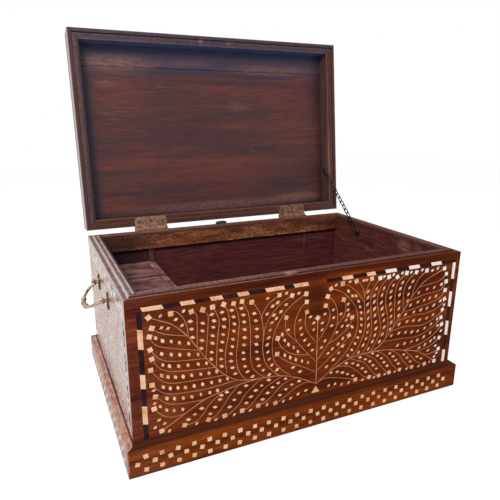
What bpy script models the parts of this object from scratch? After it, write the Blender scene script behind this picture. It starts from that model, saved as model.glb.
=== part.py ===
"""Bone inlay box: a sheesham chest on a plinth, with a till, a lid on a stay chain and two bail handles.

Metres, +Z up. The front faces -Y, the box stands on z = 0 and the origin is the centre of its underside.
The lid stands open on its chain, as it does in use. The inlay is flush decoration, so the solids leave it out.
"""
from math import cos, pi, radians, sin, sqrt

import bmesh
import bpy
from mathutils import Matrix, Vector

# Carcass
length = 0.610
depth = 0.396
rim_height = 0.273
board = 0.022
floor_board = 0.016
shelf_width = 0.0085
tongue_height = 0.003

# Plinth
plinth_height = 0.047
plinth_overhang = 0.0115
plinth_chamfer = 0.0015
cove_width = 0.0045
cove_height = 0.006
cove_edge = 0.0006

# Lid
lid_rail_width = 0.020
lid_rail_height = 0.035
lid_plank = 0.014
lid_lip_width = 0.0075
lid_lip_height = 0.0033
narrow_plank_width = 0.063
lid_open_angle = radians(97)

# Lining rail inside the back
lining_thickness = 0.010
lining_height = 0.033

# Till at the left end
till_top = 0.2105
till_inner_width = 0.0902
till_wall_thickness = 0.0165
till_ledge = 0.006
till_board = 0.010
till_floor_level = 0.110
till_slot = 0.0025
till_slot_y = 0.072
till_front_clearance = 0.004
till_axis_from_wall = 0.0056
till_pin_radius = 0.0025
till_pin_length = 0.009
till_edge_steps = 10
till_cleat_width = 0.011
till_cleat_thickness = 0.005

# Hinges
hinge_centres = {"left": -0.172, "right": 0.175}
hinge_length = 0.070
hinge_axis_behind = 0.0065
leaf_thickness = 0.0016
leaf_reach = 0.019
barrel_radius = 0.0046
hinge_pin_radius = 0.0016
pin_overrun = 0.0008
knuckle_count = 5
screw_head_radius = 0.0029
screw_head_height = 0.0013
screw_shank_radius = 0.0013
screw_length = 0.011
screw_slot = 0.0007
screw_point = 0.0015
screw_places = ((-0.0255, 0.008), (0.0, 0.010), (0.0255, 0.008))

# Knuckle left from a middle hinge
stub_length = 0.027
stub_centre_x = -0.0105
stub_drop = 0.0023
stub_strap_size = (0.018, 0.0024, 0.022)

# Stay chain at the right end
chain_off_wall = 0.008
chain_box_end = (0.0735, 0.252)
chain_lid_up = 0.100
chain_lid_in = 0.007
link_count = 17
lower_link_count = 9
link_wire = 0.00115
link_half_gap = 0.0026
link_bite = 0.00015
nail_radius = 0.0016
nail_head_radius = 0.0040
nail_head_height = 0.0016
nail_depth = 0.010
nail_point = 0.003

# Handles
handle_centre_y = 0.010
handle_height = 0.218
handle_spacing = 0.102
handle_axis_out = 0.0095
handle_plate_thickness = 0.003
handle_plate_outline = ((-0.008, -0.012), (-0.005, -0.015), (0.005, -0.015), (0.008, -0.012), (0.008, 0.006),
                        (0.0, 0.015), (-0.008, 0.006))
handle_post_radius = 0.0032
eye_radius = 0.0050
eye_width = 0.005
bail_reach = 0.033
bail_bend = 0.004
bail_pintle_radius = 0.0023
pintle_overrun = 0.001
bail_arm_radius = 0.0026
bail_grip_radius = 0.0044
bail_grip_half_length = 0.017
bail_collar_radius = 0.0046
bail_collar_half_width = 0.0022
bail_droop = radians(37.6)

# Clearances and fineness
gap = 0.0003
running_gap = 0.0002
overcut = 0.002
edge_round = 0.0010
round_sides = 20

# Worked out from the driving sizes
half_l = length / 2
half_d = depth / 2
inner_x = half_l - board
inner_y = half_d - board
parting = rim_height + gap
hinge_axis_y = half_d + hinge_axis_behind
hinge_axis_z = rim_height + gap + leaf_thickness + running_gap
chain_x = inner_x - chain_off_wall


# Shared helpers
def clear_scene():
    for item in list(bpy.data.objects):
        bpy.data.objects.remove(item, do_unlink=True)


def finish(name, colour, roughness, metallic=0.0):
    made = bpy.data.materials.new(name)
    made.use_nodes = True
    shader = made.node_tree.nodes["Principled BSDF"]
    shader.inputs["Base Color"].default_value = (*colour, 1.0)
    shader.inputs["Roughness"].default_value = roughness
    shader.inputs["Metallic"].default_value = metallic
    return made


def pivot(name, place, turn=(0.0, 0.0, 0.0)):
    empty = bpy.data.objects.new(name, None)
    empty.location = place
    empty.rotation_euler = turn
    empty.empty_display_size = 0.02
    bpy.context.scene.collection.objects.link(empty)
    return empty


def put(name, bm, material=None, on=None):
    """Makes an object of a mesh. On a pivot, the mesh is drawn as it lies before the pivot turns."""
    bmesh.ops.recalc_face_normals(bm, faces=bm.faces[:])
    mesh = bpy.data.meshes.new(name)
    bm.to_mesh(mesh)
    bm.free()
    obj = bpy.data.objects.new(name, mesh)
    bpy.context.scene.collection.objects.link(obj)
    if material:
        mesh.materials.append(material)
    if on:
        mesh.transform(Matrix.Translation(-on.location))
        obj.parent = on
    return obj


def tool(name, bm, on=None):
    obj = put(name, bm, on=on)
    obj.hide_render = True
    obj.display_type = "WIRE"
    return obj


def boolean(obj, other, operation):
    step = obj.modifiers.new(other.name, "BOOLEAN")
    step.operation = operation
    step.solver = "EXACT"
    step.use_self = operation == "UNION"
    step.object = other


def soften(obj, width=edge_round):
    step = obj.modifiers.new("soft_edges", "BEVEL")
    step.width = width
    step.segments = 2
    step.limit_method = "ANGLE"
    step.angle_limit = radians(40)


def shade_round(obj):
    obj.data.shade_smooth()
    obj.data.set_sharp_from_angle(angle=radians(40))


def add_box(bm, low, high):
    size = Vector(high) - Vector(low)
    middle = (Vector(high) + Vector(low)) / 2
    bmesh.ops.create_cube(bm, size=1.0, matrix=Matrix.Translation(middle) @ Matrix.Diagonal((*size, 1.0)))


def add_rod(bm, start, end, radius):
    start, end = Vector(start), Vector(end)
    way = end - start
    turn = Vector((0, 0, 1)).rotation_difference(way).to_matrix().to_4x4()
    place = Matrix.Translation((start + end) / 2) @ turn
    bmesh.ops.create_cone(bm, cap_ends=True, segments=round_sides, radius1=radius, radius2=radius,
                          depth=way.length, matrix=place)


def box_mesh(low, high):
    bm = bmesh.new()
    add_box(bm, low, high)
    return bm


def rods_mesh(rods):
    bm = bmesh.new()
    for start, end, radius in rods:
        add_rod(bm, start, end, radius)
    return bm


def prism_mesh(outline, low, high, axis):
    """Extrudes an outline along an axis. Its number pairs are the two other axes, in X, Y, Z order."""
    bm = bmesh.new()
    first, second = [k for k in range(3) if k != axis]
    corners = []
    for a, b in outline:
        spot = Vector((0.0, 0.0, 0.0))
        spot[axis], spot[first], spot[second] = low, a, b
        corners.append(bm.verts.new(spot))
    grown = bmesh.ops.extrude_face_region(bm, geom=[bm.faces.new(corners)], use_keep_orig=True)
    way = Vector((0.0, 0.0, 0.0))
    way[axis] = high - low
    bmesh.ops.translate(bm, vec=way, verts=[v for v in grown["geom"] if isinstance(v, bmesh.types.BMVert)])
    return bm


def turned_mesh(profile, base, way):
    """Turns a profile of (distance along, radius) pairs about an axis, on which the profile starts and ends."""
    bm = bmesh.new()
    spots = [bm.verts.new((radius, 0.0, along)) for along, radius in profile]
    edges = [bm.edges.new(pair) for pair in zip(spots, spots[1:])]
    bmesh.ops.spin(bm, geom=spots + edges, cent=(0, 0, 0), axis=(0, 0, 1), angle=2 * pi, steps=round_sides,
                   use_merge=True)
    bmesh.ops.remove_doubles(bm, verts=bm.verts[:], dist=1e-6)
    turn = Vector((0, 0, 1)).rotation_difference(Vector(way)).to_matrix().to_4x4()
    bm.transform(Matrix.Translation(base) @ turn)
    return bm


def eased(outline, corners, amount=edge_round):
    """Takes the sharp edge off the numbered corners of an outline."""
    out = []
    for k, spot in enumerate(outline):
        here = Vector(spot)
        if k not in corners:
            out.append(tuple(here))
            continue
        before = (Vector(outline[k - 1]) - here).normalized() * amount
        after = (Vector(outline[(k + 1) % len(outline)]) - here).normalized() * amount
        out += [tuple(here + before), tuple(here + (before + after) * 0.3), tuple(here + after)]
    return out


def frame_sides(grow=0.0):
    """The four sides of a mitred frame: name, half of its run, distance to its outer face, turn about Z."""
    return (
        ("front", half_l + grow, half_d + grow, 0.0),
        ("right", half_d + grow, half_l + grow, pi / 2),
        ("back", half_l + grow, half_d + grow, pi),
        ("left", half_d + grow, half_l + grow, -pi / 2),
    )


def mitred_mesh(profile, half_run, outer, turn):
    """A board with mitred ends. A profile point is (distance in from the outer face, height)."""
    bm = bmesh.new()
    pull = gap / sqrt(2)
    left = [bm.verts.new((-(half_run - u - pull), u - outer, z)) for u, z in profile]
    right = [bm.verts.new((half_run - u - pull, u - outer, z)) for u, z in profile]
    for k in range(len(profile)):
        bm.faces.new((left[k - 1], left[k], right[k], right[k - 1]))
    bm.faces.new(left)
    bm.faces.new(right)
    bmesh.ops.rotate(bm, verts=bm.verts[:], cent=(0, 0, 0), matrix=Matrix.Rotation(turn, 3, "Z"))
    return bm


# Box
def make_carcass(wood):
    low = floor_board + gap
    crest = rim_height + tongue_height
    stepped = [(0, low), (board, low), (board, crest), (shelf_width, crest), (shelf_width, rim_height),
               (0, rim_height)]
    plain = [(0, low), (board, low), (board, rim_height), (0, rim_height)]
    profiles = {"back": eased(plain, (2, 3))}
    boards = {}
    for side, run, outer, turn in frame_sides():
        profile = profiles.get(side, eased(stepped, (2, 3, 5)))
        boards[side] = put(side + "_board", mitred_mesh(profile, run, outer, turn), wood)
    bottom = put("bottom_board", box_mesh((-half_l, -half_d, 0), (half_l, half_d, floor_board)), wood)
    soften(bottom)
    return boards


def make_plinth(wood):
    thick = plinth_overhang - gap
    cove_steps = 6
    cove = []
    for k in range(cove_steps + 1):
        a = pi / 2 * k / cove_steps
        cove.append((thick - cove_width + (cove_width - cove_edge) * cos(a),
                     plinth_height + cove_height * (1 - sin(a))))
    profile = [(plinth_chamfer, 0), (thick, 0), (thick, plinth_height + cove_height), *cove,
               (plinth_chamfer, plinth_height), (0, plinth_height - plinth_chamfer), (0, plinth_chamfer)]
    for side, run, outer, turn in frame_sides(plinth_overhang):
        put("plinth_" + side, mitred_mesh(profile, run, outer, turn), wood)


def make_lining(wood):
    low = (gap - inner_x, inner_y - lining_thickness, rim_height - lining_height)
    rail = put("back_lining_rail", box_mesh(low, (inner_x - gap, inner_y - gap, rim_height)), wood)
    soften(rail)


def make_till(wood, boards):
    wall_left = -inner_x + till_inner_width
    wall_right = wall_left + till_wall_thickness
    under_top = till_top - till_board
    ledge_top = under_top - gap
    ledge_left = wall_left - till_ledge
    outline = [(ledge_left, till_floor_level), (wall_right, till_floor_level), (wall_right, till_top),
               (wall_left, till_top), (wall_left, ledge_top), (ledge_left, ledge_top)]
    put("till_wall", prism_mesh(eased(outline, (2, 3)), gap - inner_y, inner_y - gap, 1), wood)
    floor_high = (ledge_left - gap, inner_y - gap, till_floor_level + till_board)
    till_floor = put("till_floor", box_mesh((gap - inner_x, gap - inner_y, till_floor_level), floor_high), wood)
    soften(till_floor)

    # An upright cleat on the back board, from the till wall up to the lining rail
    cleat_low = (wall_right - till_cleat_width, inner_y - till_cleat_thickness, till_top + gap)
    cleat_high = (wall_right, inner_y - gap, rim_height - lining_height - gap)
    soften(put("till_cleat", box_mesh(cleat_low, cleat_high), wood))

    left, right = gap - inner_x, wall_left - 2 * gap
    slot_front, slot_back = till_slot_y - till_slot / 2, till_slot_y + till_slot / 2
    fixed_high = (right, inner_y - gap, till_top)
    fixed = put("till_fixed_top", box_mesh((left, slot_back, under_top), fixed_high), wood)
    soften(fixed)

    axis_x = -inner_x + till_axis_from_wall
    axis_z = till_top - till_board / 2
    front = till_front_clearance - inner_y
    hinge = pivot("till_lid_pivot", (axis_x, front, axis_z))
    back_edge = []
    for k in range(till_edge_steps + 1):
        a = pi / 2 + pi * k / till_edge_steps
        back_edge.append((axis_x + till_board / 2 * cos(a), axis_z + till_board / 2 * sin(a)))
    outline = eased([(right, under_top), (right, till_top), *back_edge], (0, 1))
    lid = put("till_lid", prism_mesh(outline, front, slot_front, 1), wood, hinge)
    shade_round(lid)
    pin_tips = (front - till_pin_length, slot_front + till_pin_length)
    pins, sockets = [], []
    for edge, tip in zip((front, slot_front), pin_tips):
        inward = edge - (tip - edge) * 0.2
        past = tip + (tip - edge) * 0.1
        pins.append(((axis_x, inward, axis_z), (axis_x, tip, axis_z), till_pin_radius))
        sockets.append(((axis_x, edge, axis_z), (axis_x, past, axis_z), till_pin_radius + gap))
    boolean(lid, tool("till_pins", rods_mesh(pins), hinge), "UNION")
    holes = tool("till_pin_holes", rods_mesh(sockets))
    boolean(boards["front"], holes, "DIFFERENCE")
    boolean(fixed, holes, "DIFFERENCE")


# Lid
def make_lid(wood, hinge):
    top = parting + lid_rail_height
    flat = parting + lid_lip_height
    lipped = [(0, parting), (lid_lip_width, parting), (lid_lip_width, flat), (lid_rail_width, flat),
              (lid_rail_width, top), (0, top)]
    plain = [(0, parting), (lid_rail_width, parting), (lid_rail_width, top), (0, top)]
    profiles = {"back": eased(plain, (0, 1))}
    rails = {}
    for side, run, outer, turn in frame_sides():
        profile = profiles.get(side, eased(lipped, (0, 1, 3)))
        rails[side] = put("lid_" + side + "_rail", mitred_mesh(profile, run, outer, turn), wood, hinge)
    joint = narrow_plank_width - half_d
    for name, front, back in (("narrow", -half_d, joint - gap / 2), ("wide", joint + gap / 2, half_d)):
        mesh = box_mesh((-half_l, front, top + gap), (half_l, back, top + gap + lid_plank))
        soften(put("lid_" + name + "_plank", mesh, wood, hinge))
    return rails


# Hinges
def make_screw_mesh(metal):
    """One slotted countersunk screw, its head's top at the origin and its shank along -Z."""
    neck = screw_head_height
    profile = [(0, 0), (0, screw_head_radius), (-0.3 * neck, screw_head_radius), (-neck, screw_shank_radius),
               (screw_point - screw_length, screw_shank_radius), (-screw_length, 0)]
    screw = put("screw_pattern", turned_mesh(profile, (0, 0, 0), (0, 0, 1)), metal)
    reach = 2 * screw_head_radius
    half = screw_slot / 2
    cut = tool("screw_slot", box_mesh((-reach, -half, -screw_slot), (reach, half, screw_slot)))
    boolean(screw, cut, "DIFFERENCE")
    graph = bpy.context.evaluated_depsgraph_get()
    mesh = bpy.data.meshes.new_from_object(screw.evaluated_get(graph))
    for item in (screw, cut):
        bpy.data.objects.remove(item, do_unlink=True)
    return mesh


def make_hinge(side, brass, screw_mesh, boards, rails, lid_pivot):
    centre = hinge_centres[side]
    start = centre - hinge_length / 2
    end = centre + hinge_length / 2
    step = hinge_length / knuckle_count
    joints = [start + step * k for k in range(knuckle_count + 1)]
    leaf_front = half_d - leaf_reach
    tip = gap / 2

    def barrel(owned, radius, grow):
        rods = []
        for k in range(knuckle_count):
            if (k % 2 == 0) == owned:
                ends = joints[k] + tip - grow, joints[k + 1] - tip + grow
                rods.append([(x, hinge_axis_y, hinge_axis_z) for x in ends] + [radius])
        return rods_mesh(rods)

    # The lid's leaf carries the end and middle knuckles, the box's leaf the two between them
    far = running_gap + leaf_thickness
    facing = {"lid": (running_gap, far), "box": (-far, -running_gap)}
    for owner, (low, high) in facing.items():
        on = lid_pivot if owner == "lid" else None
        name = side + "_hinge_" + owner
        corner = (start, leaf_front, hinge_axis_z + low)
        leaf = put(name + "_leaf", box_mesh(corner, (end, hinge_axis_y, hinge_axis_z + high)), brass, on)
        owned = owner == "lid"
        boolean(leaf, tool(name + "_clearance", barrel(not owned, barrel_radius + gap, gap), on), "DIFFERENCE")
        boolean(leaf, tool(name + "_knuckles", barrel(owned, barrel_radius, 0.0), on), "UNION")
        bore_ends = [(x, hinge_axis_y, hinge_axis_z) for x in (start - overcut, end + overcut)]
        bore = tool(name + "_bore", rods_mesh([(*bore_ends, hinge_pin_radius + running_gap)]), on)
        boolean(leaf, bore, "DIFFERENCE")

        # Screw heads lie flush with the leaf's free face, heads down on the lid and up on the box
        up = -1 if owned else 1
        head = hinge_axis_z + (low if owned else high)
        under = hinge_axis_z + (high if owned else low)
        holes, pilots = [], []
        for k, (along, inward) in enumerate(screw_places):
            spot = Vector((centre + along, half_d - inward, 0))
            hole_ends = [spot + Vector((0, 0, z)) for z in (head + up * overcut, under - up * overcut)]
            holes.append((*hole_ends, screw_head_radius + gap))
            deep = head - up * (screw_length + gap)
            pilots.append((spot + Vector((0, 0, under)), spot + Vector((0, 0, deep)), screw_shank_radius + gap))
            screw = bpy.data.objects.new(f"{name}_screw_{k + 1}", screw_mesh)
            bpy.context.scene.collection.objects.link(screw)
            screw.location = spot + Vector((0, 0, head))
            if owned:
                screw.parent = lid_pivot
                screw.location -= lid_pivot.location
                screw.rotation_euler = (pi, 0, radians(20 * k))
            else:
                screw.rotation_euler = (0, 0, radians(35 * k))
        boolean(leaf, tool(name + "_screw_holes", rods_mesh(holes), on), "DIFFERENCE")
        wood = rails["back"] if owned else boards["back"]
        boolean(wood, tool(name + "_pilots", rods_mesh(pilots), on), "DIFFERENCE")
        shade_round(leaf)

    # Both closed leaves lie in one housing cut in the lid's back rail
    housing_low = (start - gap, half_d - lid_rail_width - overcut, parting - overcut)
    housing_high = (end + gap, half_d + overcut, hinge_axis_z + running_gap + leaf_thickness + gap)
    housing = tool(side + "_hinge_housing", box_mesh(housing_low, housing_high), lid_pivot)
    boolean(rails["back"], housing, "DIFFERENCE")

    dome = hinge_pin_radius * 0.6
    total = hinge_length + 2 * pin_overrun
    profile = [(0, 0), (0, dome), (pin_overrun, hinge_pin_radius), (total - pin_overrun, hinge_pin_radius),
               (total, dome), (total, 0)]
    base = (start - pin_overrun, hinge_axis_y, hinge_axis_z)
    pin = put(side + "_hinge_pin", turned_mesh(profile, base, (1, 0, 0)), brass)
    shade_round(pin)


def make_stub(metal):
    """The knuckle that is left of a middle hinge, on a strap down the back."""
    half = stub_length / 2
    steps = 8
    profile = []
    for k in range(steps + 1):
        a = pi * k / steps
        profile.append((half - half * cos(a), barrel_radius * sin(a) ** 0.6 if 0 < k < steps else 0.0))
    middle = hinge_axis_z - stub_drop
    base = (stub_centre_x - half, hinge_axis_y, middle)
    stub = put("centre_hinge_stub", turned_mesh(profile, base, (1, 0, 0)), metal)
    width, thick, drop = stub_strap_size
    low = (stub_centre_x - width / 2, half_d + gap, rim_height - drop)
    high = (stub_centre_x + width / 2, half_d + gap + thick, middle)
    strap = tool("stub_strap", box_mesh(low, high))
    boolean(stub, strap, "UNION")
    shade_round(stub)


# Stay chain
def link_path(inner_length, arc_steps=6):
    """Middle line of one link: two half circles joined by straight sides, along and across the chain."""
    radius = link_half_gap + link_wire
    straight = inner_length / 2 - link_half_gap
    path = []
    for end in (1, -1):
        for k in range(arc_steps + 1):
            a = -pi / 2 + pi * k / arc_steps
            path.append(Vector((end * (straight + radius * cos(a)), end * radius * sin(a))))
    return path


def add_link(bm, inner_length, place):
    sides = 6
    path = link_path(inner_length)
    count = len(path)
    rings = []
    for k, spot in enumerate(path):
        way = (path[(k + 1) % count] - path[k - 1]).normalized()
        out = Vector((way.y, -way.x))
        ring = []
        for j in range(sides):
            a = 2 * pi * j / sides
            flat = spot + out * link_wire * cos(a)
            ring.append(bm.verts.new(place @ Vector((flat.x, flat.y, link_wire * sin(a)))))
        rings.append(ring)
    for k in range(count):
        for j in range(sides):
            i = (j + 1) % sides
            bm.faces.new((rings[k - 1][j], rings[k - 1][i], rings[k][i], rings[k][j]))


def run_meshes(inner_length, count, base, way):
    """The links of one run from its nail: the first alone, then the others. Every second link is edge on."""
    across = Vector((1, 0, 0)).cross(way)
    parts = [bmesh.new(), bmesh.new()]
    for k in range(count):
        centre = base + way * (inner_length / 2 - link_half_gap + k * (inner_length + link_bite))
        flat, normal = (across, Vector((1, 0, 0))) if k % 2 == 0 else (Vector((1, 0, 0)), -across)
        place = Matrix((way, flat, normal)).transposed().to_4x4()
        place.translation = centre
        add_link(parts[min(k, 1)], inner_length, place)
    return parts


def make_nail(name, spot, wood_x, iron, on=None):
    tip = wood_x + nail_depth
    head = chain_x - link_wire - 2 * gap
    total = tip - head + nail_head_height
    profile = [(0, 0), (0, nail_head_radius * 0.55), (nail_head_height * 0.6, nail_head_radius),
               (nail_head_height, nail_head_radius), (nail_head_height, nail_radius),
               (total - nail_point, nail_radius), (total, 0)]
    base = (head - nail_head_height, *spot)
    nail = put(name, turned_mesh(profile, base, (1, 0, 0)), iron, on)
    shade_round(nail)
    hole = [((wood_x - overcut, *spot), (tip + gap, *spot), nail_radius + gap)]
    return tool(name + "_hole", rods_mesh(hole), on)


def make_chain(iron, boards, rails, lid_pivot):
    lid_spot = (half_d - chain_lid_up, parting + chain_lid_in)
    boolean(boards["right"], make_nail("chain_box_nail", chain_box_end, inner_x, iron), "DIFFERENCE")
    lid_hole = make_nail("chain_lid_nail", lid_spot, half_l - lid_rail_width, iron, lid_pivot)
    boolean(rails["right"], lid_hole, "DIFFERENCE")

    box_end = Vector((chain_x, *chain_box_end))
    opened = Matrix.Rotation(-lid_open_angle, 3, "X")
    lid_end = lid_pivot.location + opened @ (Vector((chain_x, *lid_spot)) - lid_pivot.location)
    span = (lid_end - box_end).length
    way = (lid_end - box_end).normalized()
    bites = link_count - 2
    inner_length = (span + 2 * link_half_gap - bites * link_bite + gap) / link_count
    runs = (
        ("chain_lower_run", lower_link_count, box_end, way),
        ("chain_upper_run", link_count - lower_link_count, lid_end, -way),
    )
    for name, count, base, heading in runs:
        hook = pivot(name + "_pivot", base)
        first, others = run_meshes(inner_length, count, base, heading)
        run = put(name, first, iron, hook)
        boolean(run, tool(name + "_links", others, hook), "UNION")
        shade_round(run)


# Handles
def bail_curve(side, brass, on):
    """A turned bail: pintles through the eyes, arms on half an ellipse, a grip with collars in the middle."""
    half_span = handle_spacing / 2
    arm_y = half_span - eye_width / 2 - 2 * gap - bail_bend
    rise = bail_reach - bail_bend
    half_path = [(half_span + eye_width / 2 + pintle_overrun, 0.0, bail_pintle_radius),
                 (arm_y + bail_bend, 0.0, bail_pintle_radius)]
    bend_steps, arm_steps = 4, 30
    for k in range(1, bend_steps + 1):
        a = pi / 2 * k / bend_steps
        half_path.append((arm_y + bail_bend * (1 - sin(a)), bail_bend * (1 - cos(a)), bail_arm_radius))
    for k in range(1, arm_steps + 1):
        a = pi / 2 * k / arm_steps
        y = arm_y * cos(a)
        radius = bail_arm_radius
        if y < bail_grip_half_length:
            swell = cos(pi / 2 * y / bail_grip_half_length)
            radius += (bail_grip_radius - bail_arm_radius) * (0.45 + 0.55 * swell)
        if abs(y - bail_grip_half_length) < bail_collar_half_width:
            radius = bail_collar_radius
        half_path.append((y, bail_bend + rise * sin(a), radius))
    other_half = [(-y, out, radius) for y, out, radius in reversed(half_path[:-1])]
    path = half_path + other_half

    outward = -1 if side == "left" else 1
    curve = bpy.data.curves.new(side + "_handle_bail", "CURVE")
    curve.dimensions = "3D"
    curve.bevel_depth = 0.001
    curve.bevel_resolution = 2
    curve.use_fill_caps = True
    spline = curve.splines.new("POLY")
    spline.points.add(len(path) - 1)
    for point, (y, out, radius) in zip(spline.points, path):
        point.co = (outward * out * cos(bail_droop), y, -out * sin(bail_droop), 1.0)
        point.radius = radius / curve.bevel_depth
    curve.materials.append(brass)
    bail = bpy.data.objects.new(side + "_handle_bail", curve)
    bpy.context.scene.collection.objects.link(bail)
    bail.parent = on


def make_handle(side, brass):
    outward = -1 if side == "left" else 1
    axis_x = outward * (half_l + handle_axis_out)
    on = pivot(side + "_bail_pivot", (axis_x, handle_centre_y, handle_height))
    bail_curve(side, brass, on)
    plate_inner = outward * (half_l + gap)
    plate_outer = outward * (half_l + gap + handle_plate_thickness)
    for place, sign in (("front", -1), ("back", 1)):
        y = handle_centre_y + sign * handle_spacing / 2
        name = f"{side}_handle_{place}_plate"
        outline = [(y + a, handle_height + b) for a, b in handle_plate_outline]
        plate = put(name, prism_mesh(outline, plate_inner, plate_outer, 0), brass)
        soften(plate, edge_round * 0.7)
        mid = (axis_x, y, handle_height)
        eye_ends = [(axis_x, y + end * eye_width / 2, handle_height) for end in (-1, 1)]
        rods = [(((plate_inner + plate_outer) / 2, y, handle_height), mid, handle_post_radius),
                (*eye_ends, eye_radius)]
        boolean(plate, tool(name + "_post", rods_mesh(rods)), "UNION")
        bore_ends = [(axis_x, y + end * eye_width, handle_height) for end in (-1, 1)]
        bore = tool(name + "_bore", rods_mesh([(*bore_ends, bail_pintle_radius + gap)]))
        boolean(plate, bore, "DIFFERENCE")


def main():
    clear_scene()
    sheesham = finish("sheesham", (0.19, 0.070, 0.034), 0.45)
    plinth_wood = finish("plinth_sheesham", (0.24, 0.088, 0.036), 0.45)
    lid_wood = finish("dark_sheesham", (0.10, 0.045, 0.036), 0.55)
    till_wood = finish("worn_sheesham", (0.17, 0.085, 0.070), 0.65)
    lining_wood = finish("golden_brown_wood", (0.30, 0.14, 0.055), 0.55)
    hinge_brass = finish("aged_brass", (0.36, 0.24, 0.14), 0.5, 0.8)
    handle_brass = finish("pale_brass", (0.72, 0.58, 0.38), 0.35, 0.9)
    iron = finish("dark_iron", (0.06, 0.052, 0.048), 0.5, 0.8)

    lid_pivot = pivot("lid_pivot", (0, hinge_axis_y, hinge_axis_z), (-lid_open_angle, 0, 0))
    boards = make_carcass(sheesham)
    make_plinth(plinth_wood)
    make_lining(lining_wood)
    make_till(till_wood, boards)
    rails = make_lid(lid_wood, lid_pivot)
    screw_mesh = make_screw_mesh(iron)
    for side in hinge_centres:
        make_hinge(side, hinge_brass, screw_mesh, boards, rails, lid_pivot)
    make_stub(iron)
    make_chain(iron, boards, rails, lid_pivot)
    for side in ("left", "right"):
        make_handle(side, handle_brass)
    bpy.context.view_layer.update()


main()
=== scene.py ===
import random
from math import atan2, cos, pi, radians, sin

import bmesh
import bpy
from mathutils import Matrix, Vector


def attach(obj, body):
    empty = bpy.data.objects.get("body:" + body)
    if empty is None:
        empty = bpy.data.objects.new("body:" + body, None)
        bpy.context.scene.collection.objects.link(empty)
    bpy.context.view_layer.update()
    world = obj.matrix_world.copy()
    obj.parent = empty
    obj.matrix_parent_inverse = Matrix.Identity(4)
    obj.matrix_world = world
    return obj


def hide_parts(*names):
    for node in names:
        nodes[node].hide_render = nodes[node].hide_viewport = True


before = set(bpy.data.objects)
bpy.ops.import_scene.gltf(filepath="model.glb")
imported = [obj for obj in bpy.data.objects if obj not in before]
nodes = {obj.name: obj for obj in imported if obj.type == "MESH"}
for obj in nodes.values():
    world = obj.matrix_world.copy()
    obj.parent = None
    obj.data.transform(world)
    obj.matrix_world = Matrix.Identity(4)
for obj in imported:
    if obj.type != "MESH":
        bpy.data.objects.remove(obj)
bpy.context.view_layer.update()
rng = random.Random(1874)
mm = 0.001
white = (1, 1, 1, 1)

scene = bpy.context.scene
scene.view_settings.view_transform = "Standard"
print("frame loaded with", len(nodes), "solids")

# the box as the solids have it, in metres
chest = {"halfLength": 0.305, "halfDepth": 0.198, "rim": 0.273, "board": 0.022, "plinthOut": 0.0115,
         "lidTop": 0.3226, "lidFloor": 0.3086, "lidRail": 0.020}
halfLength, halfDepth = chest["halfLength"], chest["halfDepth"]
lidHinge = {"y": 0.2045, "z": 0.2751, "open": radians(97)}
lidPivot = Vector((0, lidHinge["y"], lidHinge["z"]))
openLid = (Matrix.Translation(lidPivot) @ Matrix.Rotation(-lidHinge["open"], 4, "X")
           @ Matrix.Translation(-lidPivot))


# camera and light
view = {"place": (-0.4011, -0.8195, 0.5153), "yaw": 24.37, "pitch": 15.70, "roll": 0.195, "lens": 35.02,
        "sensor": 36}
cameraData = bpy.data.cameras.new("camera")
cameraData.sensor_width = view["sensor"]
cameraData.lens = view["lens"]
camera = bpy.data.objects.new("camera", cameraData)
scene.collection.objects.link(camera)
camera.matrix_world = (Matrix.Translation(view["place"]) @ Matrix.Rotation(-radians(view["yaw"]), 4, "Z")
                       @ Matrix.Rotation(radians(90 - view["pitch"]), 4, "X")
                       @ Matrix.Rotation(radians(view["roll"]), 4, "Z"))
scene.camera = camera

studio = {"keyPlace": (-1.4, -1.9, 2.2), "keySize": 1.0, "keyPower": 62, "keyTint": (1.0, 0.94, 0.86),
          "fill": 0.45, "fillTint": (0.80, 0.88, 1.0, 1), "aim": (0, 0, 0.25)}
keyData = bpy.data.lights.new("softKey", "AREA")
keyData.shape = "DISK"
keyData.size = studio["keySize"]
keyData.energy = studio["keyPower"]
keyData.color = studio["keyTint"]
key = bpy.data.objects.new("softKey", keyData)
scene.collection.objects.link(key)
keyTurn = (Vector(studio["aim"]) - Vector(studio["keyPlace"])).to_track_quat("-Z", "Y")
key.matrix_world = Matrix.Translation(studio["keyPlace"]) @ keyTurn.to_matrix().to_4x4()


# small helpers for node trees
def tone(red, green, blue):
    # a colour as it looks, 0 to 255, in the linear values that sockets take
    parts = []
    for value in (red, green, blue):
        share = value / 255
        parts.append(share / 12.92 if share <= 0.04045 else ((share + 0.055) / 1.055) ** 2.4)
    return (*parts, 1.0)


def feed(tree, node, inputs):
    for socket, value in inputs.items():
        if isinstance(value, bpy.types.NodeSocket):
            tree.links.new(value, node.inputs[socket])
        else:
            node.inputs[socket].default_value = value


def wire(tree, kind, inputs, **settings):
    node = tree.nodes.new("ShaderNode" + kind)
    for name, value in settings.items():
        setattr(node, name, value)
    feed(tree, node, inputs)
    return node


def sums(tree, how, first, second=0.0):
    return wire(tree, "Math", {0: first, 1: second}, operation=how).outputs[0]


def times(tree, first, second):
    return sums(tree, "MULTIPLY", first, second)


def mixed(tree, share, first, second, how="MIX"):
    return wire(tree, "Mix", {0: share, 6: first, 7: second}, data_type="RGBA", blend_type=how).outputs[2]


def painted(tree, colour, share, paint):
    return mixed(tree, share, colour, tone(*paint))


def tinted(tree, colour, tint):
    return mixed(tree, 1.0, colour, tint, "MULTIPLY")


def eased(tree, value, low, high, start=0.0, end=1.0):
    inputs = {"Value": value, "From Min": low, "From Max": high, "To Min": start, "To Max": end}
    return wire(tree, "MapRange", inputs, interpolation_type="SMOOTHSTEP").outputs[0]


def cloud(tree, place, scale, detail=2.0, roughness=0.5, distortion=0.0):
    inputs = {"Vector": place, "Scale": scale, "Detail": detail, "Roughness": roughness,
              "Distortion": distortion}
    return wire(tree, "TexNoise", inputs).outputs[0]


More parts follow.
